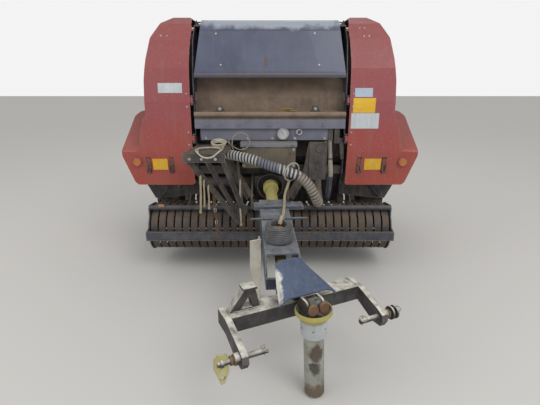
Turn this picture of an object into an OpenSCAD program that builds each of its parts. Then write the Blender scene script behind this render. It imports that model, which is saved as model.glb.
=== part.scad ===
// Round baler for hay and straw, drawn at full size in millimetres.
// Up is +Z, the drawbar points to -Y, the ground is at z = 0.
// Every module draws in the machine's own frame; lengths along Y are
// counted from the middle of the bale chamber, which lies at y = mid_y.

/* [Bale chamber] */
// inner radius of the bale chamber
chamber_r = 585; // [560:5:600]
// inner width between the side walls
chamber_w = 1200; // [1180:10:1220]
// height of the chamber's middle above the ground
chamber_z = 1230; // [1225:5:1240]
// radius of a pressing roller
roller_r = 85; // [80:1:88]
// ribs round a pressing roller
roller_ribs = 8; // [6:1:10]
// thickness of the chamber's side walls
wall_t = 8; // [6:1:10]

/* [Wheels] */
// radius of the road wheel's tyre at the lug tips
wheel_r = 420; // [410:5:425]
// width of the road wheel's tyre
tyre_w = 280; // [260:10:290]
// distance between the two tyres' middle planes
track = 2040; // [2020:10:2060]
// lugs round a tyre, one side
lug_count = 20; // [16:1:24]
// height of a tyre lug
lug_h = 16; // [12:1:18]
// axle's distance behind the chamber's middle
axle_y = 130; // [120:5:140]

/* [Side covers] */
// outer face of the upper side cover from the middle plane
cover_x = 985; // [975:5:995]
// outer edge of the flared lower part
flare_x = 1205; // [1195:5:1210]
// thickness of a side cover's skin
cover_t = 10; // [8:1:12]

/* [Pickup] */
// width of the pickup over its stripper bands
pickup_w = 2000; // [1960:10:2040]
// radius of the stripper bands
band_r = 195; // [185:5:200]
// number of stripper bands
band_count = 30; // [24:1:34]
// width of one stripper band
band_w = 52; // [44:1:56]
// height of the tine reel's axis in the parked position
reel_z = 335; // [330:1:345]

/* [Drawbar and hitch] */
// angle of the drawbar to the right of straight ahead, as parked
swing_deg = 4; // [3:0.5:6]
// turn of the hitch yoke against the drawbar, as parked
yoke_deg = 21.3; // [20:0.1:24]
// drawbar length from its pin to the hitch's pivot
drawbar_l = 1160; // [1150:5:1175]
// height of the lower link pins above the ground
hitch_z = 398; // [390:1:405]
// spacing of the yoke's two arms, middle to middle
arm_gap = 770; // [760:5:780]
// radius of a lower link pin
link_pin_r = 14; // [14:0.5:15]

/* [Tailgate] */
// gap between the front body and the tailgate
gate_gap = 12; // [10:1:16]
// height of the tailgate's hinge
gate_z = 1985; // [1980:5:1990]

/* [Hidden] */
front_len = 2774; // chamber's middle to the foremost point
rear_len = 822;
mid_y = (front_len - rear_len) / 2;
wall_x = chamber_w / 2;
ring_r = chamber_r + roller_r;
run_fit = 0.06;
pivot_y = -1085;
fork_z = 563;
drive_z = 742;
joint_x = 20;
joint_y = -268;
joint_z = 528;
side_x = wall_x + wall_t;
gate_y = 20;
reel_y = -855;
tine_reach = band_r + 20;
back_y = reel_y + 222;
lift_y = -560;
lift_z = 430;
cross_y = -830;
cross_z = 725;
hood_y = -596;
hood_z = 2010;

// sheet and frame paints
red = [0.66, 0.22, 0.20];
navy = [0.20, 0.23, 0.32];
dust = [0.52, 0.45, 0.36];
steel = [0.45, 0.45, 0.46];
black = [0.10, 0.10, 0.11];

// moves the chamber's frame to the object's frame
module place() { translate([0, mid_y, 0]) children(); }

// extrudes a (y, z) outline along X from x0 to x1
module along_x(x0, x1, pts) {
    translate([x0, 0, 0]) rotate([90, 0, 90]) linear_extrude(x1 - x0) polygon(pts);
}

// a round bar along X
module bar_x(r, x0, x1, y, z) {
    translate([x0, y, z]) rotate([0, 90, 0]) cylinder(r = r, h = x1 - x0, $fn = 48);
}

// a box between two corners
module block(a, b) { translate(a) cube(b - a); }

// a round bar between two points
module rod_between(a, b, r, sides = 32) {
    d = b - a;
    l = norm(d);
    translate(a) rotate([0, acos(d.z / l), atan2(d.y, d.x)]) cylinder(r = r, h = l, $fn = sides);
}

// a square tube or flat bar between two points, w across and t thick
module beam_between(a, b, w, t) {
    d = b - a;
    l = norm(d);
    translate(a) rotate([0, acos(d.z / l), atan2(d.y, d.x)])
        translate([-t / 2, -w / 2, 0]) cube([t, w, l]);
}

module mirror_x() { mirror([1, 0, 0]) children(); }

// frame of the drawbar: origin at its pin, -Y along it
module at_drawbar() {
    translate([0, pivot_y, 0]) rotate([0, 0, swing_deg]) children();
}

// frame of the hitch yoke: origin at its pivot, -Y ahead
module at_yoke() {
    at_drawbar() translate([0, -drawbar_l, 0]) rotate([0, 0, yoke_deg]) children();
}

// Chassis: axle beam, stub axles, side rails, cross member, tongue and inclined struts
module chassis_frame() {
    color(navy) place() {
        difference() {
            union() {
                block([-830, axle_y - 50, wheel_r - 50], [830, axle_y + 50, wheel_r + 45]);
                bar_x(40, -track / 2 - 92, -820, axle_y, wheel_r);
                bar_x(40, 820, track / 2 + 92, axle_y, wheel_r);
                block([-side_x, -850, 800], [side_x, -785, 865]);
                for (s = [-1, 1]) {
                    block([s * (side_x + 28) - 28, -700, 505], [s * (side_x + 28) + 28, axle_y + 50, 560]);
                    block([s * (side_x + 28) - 28, axle_y - 50, 464],
                        [s * (side_x + 28) + 28, axle_y + 50, 510]);
                    block([s * (side_x + 10) - 6, lift_y - 45, lift_z - 40],
                        [s * (side_x + 10) + 6, lift_y + 45, 520]);
                    beam_between([s * 400, -818, 985], [s * 160, -1040, 640], 50, 50);
                    block([s * 400 - 30, -835, 930], [s * 400 + 30, -785, 1015]);
                    along_x(s * 147 - 8, s * 147 + 8, [[-1090, fork_z], [-1090, 650], [-850, 820],
                        [-800, 820], [-800, 600], [-960, fork_z]]);
                }
                block([-155, -1085, fork_z], [155, -960, fork_z + 49]);
                translate([0, pivot_y, fork_z]) cylinder(r = 76, h = 49, $fn = 64);
            }
            translate([0, pivot_y, 500]) cylinder(r = 25 + run_fit, h = 200, $fn = 64);
            bar_x(15 + run_fit, -side_x - 32, side_x + 32, lift_y, lift_z);
            bar_x(50, -200, 200, cross_y, cross_z);
        }
    }
}

// outline of the front half of a chamber side wall
front_wall_pts = [[60, 452], [-250, 452], [-520, 500], [-700, 570], [-800, 700], [-880, 800],
    [-900, 1100], [-905, 1560], [-830, 1850], [-700, 1975], [-560, 2005], [60, 2005]];

// vertical hinge line of the side covers and the heights of its two hinges
hinge_x = side_x + 4;
hinge_y = -950;
hinge_heights = [1110, 1410];

module side_wall(s) {
    x0 = s > 0 ? wall_x : -wall_x - wall_t;
    color(navy) place() {
        difference() {
            along_x(x0, x0 + wall_t, front_wall_pts);
            block([x0 - 1, axle_y - 51, wheel_r - 51], [x0 + wall_t + 1, axle_y + 51, wheel_r + 46]);
            block([x0 - 1, -851, 799], [x0 + wall_t + 1, -784, 866]);
            for (a = front_angles)
                bar_x(26, x0 - 1, x0 + wall_t + 1, ring_r * cos(a), chamber_z + ring_r * sin(a));
            bar_x(28, x0 - 1, x0 + wall_t + 1, cross_y, cross_z);
        }
        difference() {
            along_x(x0, x0 + wall_t, [[hood_y - 20, 1980], [hood_y + 20, 1980],
                [hood_y + 14, hood_z + 14], [hood_y - 14, hood_z + 14]]);
            bar_x(6 + run_fit, x0 - 1, x0 + wall_t + 1, hood_y, hood_z);
        }
        for (h = hinge_heights) {
            translate([s * hinge_x, hinge_y, h - 36]) cylinder(r = 6, h = 72, $fn = 48);
            for (z = [h - 36, h + 26]) {
                translate([s * hinge_x, hinge_y, z]) cylinder(r = 9, h = 10, $fn = 48);
                block([s > 0 ? wall_x : -hinge_x - 9, hinge_y, z],
                    [s > 0 ? hinge_x + 9 : -wall_x, -890, z + 10]);
            }
        }
        bar_x(16, s > 0 ? wall_x : -wall_x - 42, s > 0 ? wall_x + 42 : -wall_x, gate_y, gate_z);
        bar_x(15, s > 0 ? wall_x : -wall_x - 82, s > 0 ? wall_x + 82 : -wall_x, cyl_a.y, cyl_a.z);
    }
}
module wall_left() { side_wall(-1); }
module wall_right() { side_wall(1); }

// angles of the rollers round the chamber, counted from +Y
front_angles = [92, 107, 122, 137, 152, 167, 182, 197, 248, 263];
gate_angles = [76, 61, 46, 31, 16, 1, -14, -29, -44, -59, -74];

// a ribbed roller on its shaft, whose ends reach past the side walls
module roller(a) {
    ext = a > 240 || a < -60 ? 6 : 40;
    translate([0, ring_r * cos(a), chamber_z + ring_r * sin(a)]) {
        translate([-wall_x + 4, 0, 0]) rotate([90, 0, 90])
            linear_extrude(chamber_w - 8) union() {
                circle(r = roller_r - 8, $fn = 40);
                for (i = [0:roller_ribs - 1]) rotate(i * 360 / roller_ribs)
                    translate([0, -8]) square([roller_r, 16]);
            }
        bar_x(25.7, -wall_x - ext, wall_x + ext, 0, 0);
    }
}
module front_rollers() { color(steel) place() for (a = front_angles) roller(a); }
module gate_rollers() { color(steel) place() for (a = gate_angles) roller(a); }

// sheets over the front half of the chamber, behind the gearbox and down to the feed opening
module body_sheets() {
    color(navy) place() {
        along_x(-wall_x, wall_x,
            [[60, 1993], [-562, 1993], [-690, 1967], [-694, 1975], [-562, 2001], [60, 2001]]);
        along_x(-wall_x, wall_x,
            [[-785, 1300], [-785, 940], [-740, 870], [-733, 874], [-777, 943], [-777, 1300]]);
        along_x(-wall_x, wall_x, [[-785, 799], [-616, 560], [-579, 470], [-400, 455],
            [-400, 463], [-573, 478], [-609, 564], [-775, 799]]);
        for (s = [-1, 1]) block([s > 0 ? side_x : -side_x - 58, -786, 700],
            [s > 0 ? side_x + 58 : -side_x, -780, 1900]);
    }
}

// net tray: floor, back and lip rails
module net_tray() {
    color(dust) place() {
        along_x(-wall_x, wall_x,
            [[-930, 1308], [-774, 1308], [-774, 1420], [-650, 1720], [-658, 1723], [-783, 1424],
            [-783, 1318], [-930, 1318]]);
        bar_x(20, -wall_x, wall_x, -940, 1300);
        block([-wall_x, -930, 1262], [wall_x, -918, 1310]);
    }
}

// bar with bolts and the lower panel with its pressure gauge
module gauge_panel() {
    color(navy) place() {
        block([-wall_x, -950, 1190], [wall_x, -915, 1262]);
        for (s = [-1, 1])
            block([s * (wall_x - 6) - 6, -915, 1190], [s * (wall_x - 6) + 6, -880, 1262]);
        block([-560, -925, 1095], [470, -915, 1192]);
        for (x = [-495, -250, 0, 240, 430]) translate([x, -949, 1222]) rotate([90, 0, 0])
            cylinder(r = 14, h = 10, $fn = 6);
        translate([105, -924, 1150]) rotate([90, 0, 0]) cylinder(r = 46, h = 34, $fn = 64);
        translate([235, -924, 1160]) rotate([90, 0, 0]) difference() {
            cylinder(r = 24, h = 14, $fn = 48);
            translate([0, 0, 4]) cylinder(r = 15, h = 12, $fn = 48);
        }
    }
}

// front hood: top band, leaning face, lip and cheeks
module front_hood() {
    color(navy) place() intersection() {
        union() {
            along_x(-592, 592, [[-600, 2014], [-706, 2014], [-752, 2008], [-792, 1992], [-820, 1966],
                [-836, 1934], [-928, 1622], [-940, 1600], [-930, 1580], [-922, 1584], [-930, 1600],
                [-918, 1622], [-827, 1929], [-814, 1960], [-788, 1984], [-750, 2000], [-706, 2006],
                [-600, 2006]]);
            for (x = [-592, 584]) along_x(x, x + 8, [[-700, 2008], [-786, 1985], [-830, 1934],
                [-923, 1622], [-730, 1622], [-670, 1760], [-650, 1985]]);
        }
        translate([0, -500, 0]) rotate([90, 0, 0]) linear_extrude(600)
            polygon([[-535, 2030], [-540, 1950], [-592, 1570], [592, 1570], [540, 1950], [535, 2030]]);
    }
    color(navy) place() for (s = [-1, 1])
        bar_x(6, s > 0 ? 500 : -side_x, s > 0 ? side_x : -500, hood_y, hood_z);
}

// main gearbox with its cross shaft and bell shield
module main_gearbox() {
    color(steel) place() {
        block([-128, -955, 640], [128, -786, 799]);
        translate([0, -950, drive_z]) rotate([90, 0, 0]) cylinder(r = 60, h = 35, $fn = 64);
        bar_x(42, -wall_x + 4, -126, cross_y, cross_z);
        bar_x(24, -753.9, -wall_x + 5, cross_y, cross_z);
        translate([0, -980, drive_z]) rotate([90, 0, 0]) difference() {
            cylinder(r1 = 84, r2 = 104, h = 90, $fn = 64);
            translate([0, 0, 6]) cylinder(r1 = 80, r2 = 100, h = 90, $fn = 64);
        }
    }
}

// main driveline in its guard, lying in the drawbar
module main_driveline() {
    a = [6, 70, drive_z];
    b = [0, -drawbar_l + 120, 510];
    d = (b - a) / norm(b - a);
    color([0.75, 0.66, 0.18]) place() at_drawbar() {
        rod_between(a, b, 20);
        rod_between(a + 45 * d + [0, 0, 10], a + 95 * d + [0, 0, 10], 60);
        rod_between(a + 60 * d, a + 345 * d, 44);
        rod_between(a + 325 * d, b - 90 * d, 34);
    }
}

// struts under the shelf: upper end x, y, z, lower end x, y, z, width seen from ahead, depth
strut_rows = [[-598, -1270, 990, -249, -1110, 452, 44, 10], [-462, -1280, 990, -282, -1110, 560, 38, 10],
    [-345, -1280, 990, -224, -1110, 575, 44, 12], [-262, -1012, 960, -226, -1108, 600, 18, 18]];

// shelf at the left, bolted plate and latch bar at the right, struts fanned at the left, and the
// net tray's two stops and two brake levers
module front_brackets() {
    color(navy) place() {
        translate([0, 0, 1040]) linear_extrude(12) polygon([[-wall_x, -785], [-wall_x, -962],
            [-640, -1300], [-330, -1300], [-290, -785]]);
        block([-640, -1300, 985], [-330, -1290, 1041]);
        block([-446, -1005, 950], [-434, -925, 1041]);
        block([318, -1000, 785], [455, -988, 1090]);
        block([443, -989, 865], [455, -785, 1090]);
        for (z = [890, 1035]) translate([392, -999, z]) rotate([90, 0, 0])
            cylinder(r = 22, h = 16, $fn = 6);
        beam_between([336, -982, 1084], [288, -982, 800], 12, 50);
        block([520, -935, 1071], [560, -905, 1190]);
        block([471, -940, 1095], [505, -905, 1190]);
        beam_between([572, -925, 1110], [592, -915, 940], 12, 30);
        for (t = strut_rows)
            beam_between([t[0], t[1], t[2]], [t[3], t[4], t[5]], t[7], t[6]);
        translate([-245, -1100, 560]) rotate([90, 0, 0]) cylinder(r = 62, h = 14, $fn = 64);
        for (x = [-400, 360]) translate([x, -908, 0]) rotate([90, 0, 0]) linear_extrude(10)
            polygon([[-42, 1318], [-22, 1368], [22, 1368], [42, 1318]]);
        for (s = [-1, 1]) {
            rod_between([s * (wall_x - 12), -868, 1465], [s * (wall_x - 12), -915, 1400], 9);
            rod_between([s * (wall_x - 12), -909, 1408], [s * (wall_x - 12), -905, 1328], 7);
            bar_x(6, s > 0 ? wall_x - 12 : -wall_x, s > 0 ? wall_x : 12 - wall_x, -876, 1454);
        }
    }
}

// closed box over the gearbox
module middle_box() {
    color(dust) place() {
        block([-225, -1000, 880], [205, -785, 1051]);
        block([-235, -1010, 1051], [215, -785, 1090]);
    }
}

// dark plates between the side covers and the pickup's ends
module side_guards() {
    color(navy) place() for (s = [-1, 1])
        translate([0, -764, 0]) rotate([90, 0, 0]) linear_extrude(6)
            polygon([[s * side_x, 712], [s * side_x, 600], [s * 930, 560], [s * 1010, 560],
                [s * 1090, 712]]);
}

// a roller's place (y, z) from its angle
function roller_yz(a) = [ring_r * cos(a), chamber_z + ring_r * sin(a)];
// sprockets: y, z, radius, first x of the stub
sprockets_left = [[cross_y, cross_z, 48, 784], concat(roller_yz(197), [80, 640]),
    concat(roller_yz(152), [95, 640]), concat(roller_yz(107), [80, 640])];
sprockets_right = [concat(roller_yz(182), [85, 640]), concat(roller_yz(137), [95, 640]),
    concat(roller_yz(92), [80, 640])];

// one chain run between two sprockets, drawn as a flat loop
module chain_loop(a, b, x, w) {
    translate([x, 0, 0]) rotate([90, 0, 90]) linear_extrude(w) difference() {
        hull() {
            translate([a.x, a.y]) circle(r = a.z + 8, $fn = 32);
            translate([b.x, b.y]) circle(r = b.z + 8, $fn = 32);
        }
        hull() {
            translate([a.x, a.y]) circle(r = a.z - 6, $fn = 32);
            translate([b.x, b.y]) circle(r = b.z - 6, $fn = 32);
        }
    }
}
module chain_side(s, tab) {
    for (i = [0:len(tab) - 1]) {
        x0 = s * 760;
        bar_x(tab[i].z - 7, x0 - 6, x0 + 6, tab[i].x, tab[i].y);
        bar_x(24, s > 0 ? tab[i][3] : x0 - 25, s > 0 ? x0 + 25 : -tab[i][3], tab[i].x, tab[i].y);
    }
    for (i = [0:len(tab) - 2]) chain_loop(tab[i], tab[i + 1], s * 760 + (i % 2 == 0 ? -18 : 2), 16);
}
module chain_drive_left() { color(steel) place() chain_side(-1, sprockets_left); }
module chain_drive_right() { color(steel) place() chain_side(1, sprockets_right); }

// front view outlines (x, z) of a side cover: upright column, then the wheel's fender
column_pts = [[side_x + 20, 716], [side_x + 20, 1700], [side_x + 4, 1950], [side_x + 32, 2046],
    [790, 2046], [860, 1990], [925, 1880], [960, 1720], [cover_x - 5, 1560], [cover_x, 1400],
    [cover_x, 1292], [1006, 1266], [1042, 1150], [1054, 1050], [1090, 1008], [flare_x, 1000],
    [flare_x, 965], [1130, 740], [1106, 716]];
fender_pts = [[640, 716], [640, 1287], [1165, 1287], [flare_x, 1250], [flare_x, 965], [1130, 740],
    [1106, 716]];
// side profiles (y, z) of both, on the front cover and on the tailgate's
column_side = [[50, 930], [-340, 930], [-420, 716], [-905, 716], [-945, 1000], [-952, 1400],
    [-925, 1650], [-860, 1860], [-760, 1985], [-600, 2046], [50, 2046]];
fender_side = [[50, 930], [-340, 930], [-420, 716], [-905, 716], [-945, 1000], [-936, 1016],
    [-650, 1175], [-460, 1287], [50, 1287]];
gate_column_side = [[150, 2040], [330, 2030], [560, 1930], [720, 1720], [800, 1450], [815, 1200],
    [780, 1010], [720, 930], [62, 930], [62, 1850], [110, 1990]];
gate_fender_side = [[62, 930], [62, 1287], [330, 1250], [560, 1120], [700, 980], [720, 930]];

// rounds the convex corners of an outline, then moves it inward by d
module inset(d, r) { offset(delta = -d) offset(r = r, $fn = 24) offset(delta = -r) children(); }

// solid form of one outline and profile
module cover_form(front, side) {
    intersection() {
        translate([0, 900, 0]) rotate([90, 0, 0]) linear_extrude(1900) inset(0, 24) polygon(front);
        translate([500, 0, 0]) rotate([90, 0, 90]) linear_extrude(800) polygon(side);
    }
}
// its hollow, open inward, below and through the opening outline (y, z)
module cover_hollow(front, side, opening, top) {
    intersection() {
        translate([0, 920, 0]) rotate([90, 0, 0]) linear_extrude(1940) union() {
            inset(cover_t, 24) polygon(front);
            translate([500, 600]) square([200, top - cover_t - 600]);
            polygon([[560, 600], [1090, 600], [1096, 716], [1120, 740], [560, 740]]);
        }
        translate([400, 0, 0]) rotate([90, 0, 90]) linear_extrude(1000) union() {
            offset(delta = -cover_t) polygon(side);
            polygon(opening);
        }
    }
}
module cover_right() {
    color(red) place() {
        difference() {
            union() {
                cover_form(column_pts, column_side);
                cover_form(fender_pts, fender_side);
            }
            cover_hollow(column_pts, column_side, [[-895, 600], [-895, 716], [-900, 760],
                [-300, 1000], [-100, 2036], [200, 2036], [200, 600]], 2046);
            cover_hollow(fender_pts, fender_side, [[-895, 600], [-895, 716], [-900, 760],
                [-300, 1000], [-100, 1277], [200, 1277], [200, 600]], 1287);
        }
        for (h = hinge_heights) difference() {
            union() {
                translate([hinge_x, hinge_y, h - 20]) cylinder(r = 11, h = 40, $fn = 48);
                block([hinge_x, hinge_y + 3, h - 20], [hinge_x + 44, hinge_y + 10, h + 20]);
            }
            translate([hinge_x, hinge_y, h - 21]) cylinder(r = 6 + run_fit, h = 42, $fn = 48);
        }
    }
}
module cover_left() { mirror_x() cover_right(); }
module gate_cover_right() {
    color(red) place() difference() {
        union() {
            cover_form(column_pts, gate_column_side);
            cover_form(fender_pts, gate_fender_side);
        }
        cover_hollow(column_pts, gate_column_side, [[0, 800], [0, 1850], [50, 1850], [100, 1996], [146, 2027],
            [330, 2018], [330, 1000], [700, 1000], [713, 930], [713, 800]], 2046);
        cover_hollow(fender_pts, gate_fender_side, [[0, 800], [0, 1277], [62, 1277], [320, 1240],
            [320, 1000], [650, 985], [700, 930], [700, 800]], 1287);
    }
}
module gate_cover_left() { mirror_x() gate_cover_right(); }

// round amber lamp on the flare
module lamp_right() {
    color([0.85, 0.45, 0.12]) place() translate([1085, -934, 920]) rotate([98, 0, 0])
        cylinder(r = 30, h = 26, $fn = 48);
}
module lamp_left() { mirror_x() lamp_right(); }

// rear half of the chamber wall, with the ear that hangs it on the hinge pin
gate_wall_pts = [[60 + gate_gap, 452], [300, 470], [520, 600], [680, 780], [780, 1000],
    [800, 1240], [770, 1480], [680, 1700], [520, 1870], [300, 1980], [160, 1995], [110, 1970],
    [60 + gate_gap, 1900]];
module gate_wall(s) {
    x0 = s > 0 ? wall_x : -wall_x - wall_t;
    e0 = s > 0 ? wall_x + 14 : -wall_x - 24;
    f0 = s > 0 ? wall_x + wall_t - 1 : -wall_x - 15;
    color(navy) place() {
        difference() {
            along_x(x0, x0 + wall_t, gate_wall_pts);
            block([x0 - 1, 0, 300], [x0 + wall_t + 1, axle_y + 60, wheel_r + 55]);
            for (a = gate_angles)
                bar_x(26, x0 - 1, x0 + wall_t + 1, ring_r * cos(a), chamber_z + ring_r * sin(a));
        }
        difference() {
            union() {
                along_x(e0, e0 + 10, [[gate_y - 8, gate_z - 35], [240, 1914], [240, 1968],
                    [gate_y, gate_z + 36]]);
                bar_x(36, e0, e0 + 10, gate_y, gate_z);
                along_x(f0, f0 + 8, [[200, 1922], [240, 1916], [240, 1964], [200, 1964]]);
            }
            bar_x(16 + run_fit, e0 - 20, e0 + 30, gate_y, gate_z);
        }
        bar_x(34, s > 0 ? wall_x + wall_t : -wall_x - wall_t - 3, s > 0 ? wall_x + wall_t + 3
            : -wall_x - wall_t, cyl_b.y, cyl_b.z);
    }
}
module gate_wall_left() { gate_wall(-1); }
module gate_wall_right() { gate_wall(1); }

// sheet round the back of the tailgate
module gate_skin() {
    color(navy) place() translate([-wall_x, 0, chamber_z]) rotate([90, 0, 90])
        linear_extrude(chamber_w) difference() {
            circle(r = 776, $fn = 120);
            circle(r = 770, $fn = 120);
            translate([-900, -900]) square([900 + 100, 1800]);
            rotate(-75) translate([0, -900]) square([900, 600]);
            translate([0, -900]) square([420, 500]);
        }
}

// rear lamp bar with its two lamp cases on the tailgate
module gate_lamps() {
    color([0.70, 0.12, 0.10]) place() {
        for (s = [-1, 1]) block([s * 480 - 90, 778, 1076], [s * 480 + 90, 822, 1166]);
        block([-570, 764, 1060], [570, 779, 1092]);
    }
}

// tailgate cylinder: lower eye on the front wall, rod's eye on the tailgate
cyl_a = [wall_x + 60, -100, 1000];
cyl_b = [wall_x + 60, 300, 1700];
module cyl_frame() {
    d = cyl_b - cyl_a;
    translate(cyl_a) rotate([-atan2(d.y, d.z), 0, 0]) children();
}
cyl_len = norm(cyl_b - cyl_a);
module cylinder_right() {
    color(steel) place() cyl_frame() {
        difference() {
            union() {
                translate([0, 0, 26]) cylinder(r = 32, h = cyl_len - 120, $fn = 64);
                translate([-18, 0, 0]) rotate([0, 90, 0]) cylinder(r = 32, h = 36, $fn = 48);
            }
            translate([-30, 0, 0]) rotate([0, 90, 0]) cylinder(r = 15 + run_fit, h = 60, $fn = 48);
            translate([0, 0, 60]) cylinder(r = 18 + run_fit, h = cyl_len, $fn = 48);
        }
    }
}
module cylinder_left() { mirror_x() cylinder_right(); }
module rod_right() {
    color([0.75, 0.75, 0.76]) place() cyl_frame() difference() {
        union() {
            translate([0, 0, 80]) cylinder(r = 18, h = cyl_len - 100, $fn = 48);
            translate([-18, 0, cyl_len]) rotate([0, 90, 0]) cylinder(r = 32, h = 36, $fn = 48);
        }
        translate([-30, 0, cyl_len]) rotate([0, 90, 0]) cylinder(r = 15, h = 60, $fn = 48);
    }
    color([0.75, 0.75, 0.76]) place() cyl_frame() translate([-48, 0, cyl_len]) rotate([0, 90, 0])
        cylinder(r = 15, h = 74, $fn = 48);
}
module rod_left() { mirror_x() rod_right(); }

// pickup: end plates, top rail, back plate and hanging arms
module pickup_frame() {
    half = pickup_w / 2;
    color(navy) place() {
        for (s = [-1, 1]) {
            x0 = s > 0 ? half + 6 : -half - 14;
            difference() {
                union() {
                    bar_x(band_r + 8, x0, x0 + 8, reel_y, reel_z);
                    along_x(x0, x0 + 8, [[reel_y - 150, reel_z + 130], [reel_y - 150, reel_z + 205],
                        [reel_y - 128, reel_z + 224], [reel_y + 30, reel_z + 200], [back_y, reel_z + 80],
                        [back_y, reel_z - 60], [reel_y + 100, reel_z - 150]]);
                }
                bar_x(25 + run_fit, x0 - 1, x0 + 9, reel_y, reel_z);
            }
            difference() {
                union() {
                    along_x(s * (side_x + 32) - 8, s * (side_x + 32) + 8, [[back_y, reel_z - 20],
                        [back_y, reel_z + 80], [lift_y, lift_z + 30], [lift_y, lift_z - 30]]);
                    bar_x(30, s * (side_x + 32) - 8, s * (side_x + 32) + 8, lift_y, lift_z);
                    bar_x(15, s > 0 ? side_x : -side_x - 32, s > 0 ? side_x + 32 : -side_x, lift_y,
                        lift_z);
                }
            }
        }
        for (s = [-1, 1]) along_x(s * (half + 10) - 4, s * (half + 10) + 4,
            [[reel_y - 120, reel_z - 34], [reel_y - 277, reel_z - 36], [reel_y - 277, reel_z + 36],
            [reel_y - 120, reel_z + 60]]);
        bar_x(20, -half - 8, half + 8, reel_y - 128, reel_z + 203);
        block([-half - 8, reel_y - 276, reel_z - 35], [half + 8, reel_y - 246, reel_z + 35]);
        block([-half - 8, back_y, reel_z - 60], [half + 8, back_y + 10, reel_z + 80]);
    }
}

// curved stripper bands
module pickup_bands() {
    pitch = pickup_w / band_count;
    color([0.42, 0.36, 0.30]) place() for (i = [0:band_count - 1])
        translate([-pickup_w / 2 + (i + 0.5) * pitch - band_w / 2, reel_y, reel_z])
            rotate([90, 0, 90]) linear_extrude(band_w) difference() {
                union() {
                    circle(r = band_r, $fn = 48);
                    translate([0, -band_r + 30]) square([back_y - reel_y, 2 * band_r - 60]);
                }
                circle(r = band_r - 4, $fn = 48);
                translate([0, -band_r + 34]) square([back_y - reel_y + 1, 2 * band_r - 68]);
            }
}

// tine reel: shaft, four tine bars and sprung tines
module pickup_reel() {
    color(steel) place() {
        bar_x(25, -pickup_w / 2 - 40, pickup_w / 2 + 40, reel_y, reel_z);
        for (k = [0:3]) {
            a = 45 + 90 * k;
            translate([0, reel_y, reel_z]) rotate([a, 0, 0]) {
                bar_x(12, -pickup_w / 2 + 4, pickup_w / 2 - 4, 0, 120);
                for (x = [50 - pickup_w / 2, 0, pickup_w / 2 - 50]) block([x - 5, -14, 0], [x + 5, 14, 120]);
                for (i = [1:band_count - 1])
                    translate([-pickup_w / 2 + i * pickup_w / band_count, 0, 118])
                        cylinder(r = 3, h = tine_reach - 118, $fn = 8);
            }
        }
    }
}

// tyre with its lugs
module tyre() {
    half = tyre_w / 2;
    body_r = wheel_r - lug_h;
    color(black) rotate([0, 90, 0]) {
        rotate_extrude($fn = 72) polygon([[200.3, -97], [223, -97], [223, -half + 26], [300, -half],
            [370, -half + 12], [body_r - 8, -half + 40], [body_r, -60], [body_r, 60],
            [body_r - 8, half - 40], [370, half - 12], [300, half], [223, half - 26], [223, 97],
            [200.3, 97], [216, 70], [216, -70]]);
        intersection() {
            translate([0, 0, -half + 6]) cylinder(r = wheel_r, h = tyre_w - 12, $fn = 120);
            for (i = [0:lug_count - 1], s = [-1, 1])
                rotate([0, 0, (i + (s > 0 ? 0.5 : 0)) * 360 / lug_count])
                    translate([body_r - 14, 0, 0]) rotate([s * 35, 0, 0])
                        translate([0, -15, s > 0 ? -8 : -132]) cube([lug_h + 24, 30, 140]);
        }
    }
}
module at_wheel(s) { translate([s * track / 2, axle_y, wheel_r]) children(); }
module tyre_left() { place() at_wheel(-1) tyre(); }
module tyre_right() { place() at_wheel(1) tyre(); }

// rim: well, disc and hub; the disc's hollow faces outward
module rim() {
    color([0.80, 0.78, 0.72]) rotate([0, 90, 0]) difference() {
        union() {
            rotate_extrude($fn = 72) polygon([[200, -97.4], [222.5, -97.4], [222.5, -110],
                [192, -110], [186, -90], [168, -60], [168, 60], [186, 90], [192, 110],
                [222.5, 110], [222.5, 97.4], [200, 97.4], [194, 80], [176, 55], [176, -55],
                [194, -80]]);
            rotate_extrude($fn = 72) polygon([[60, 30], [60, 42], [80, 42], [160, 20],
                [172, 20], [172, 8], [156, 8], [80, 30]]);
            rotate_extrude($fn = 64) polygon([[40 + run_fit, -60], [68, -60], [68, 84],
                [40 + run_fit, 84]]);
        }
        for (i = [0:4]) rotate([0, 0, i * 72]) translate([110, 0, 0])
            cylinder(r = 12, h = 100, $fn = 32);
    }
}
module rim_right() { place() at_wheel(1) rim(); }
module rim_left() { place() at_wheel(-1) mirror_x() rim(); }

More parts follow.
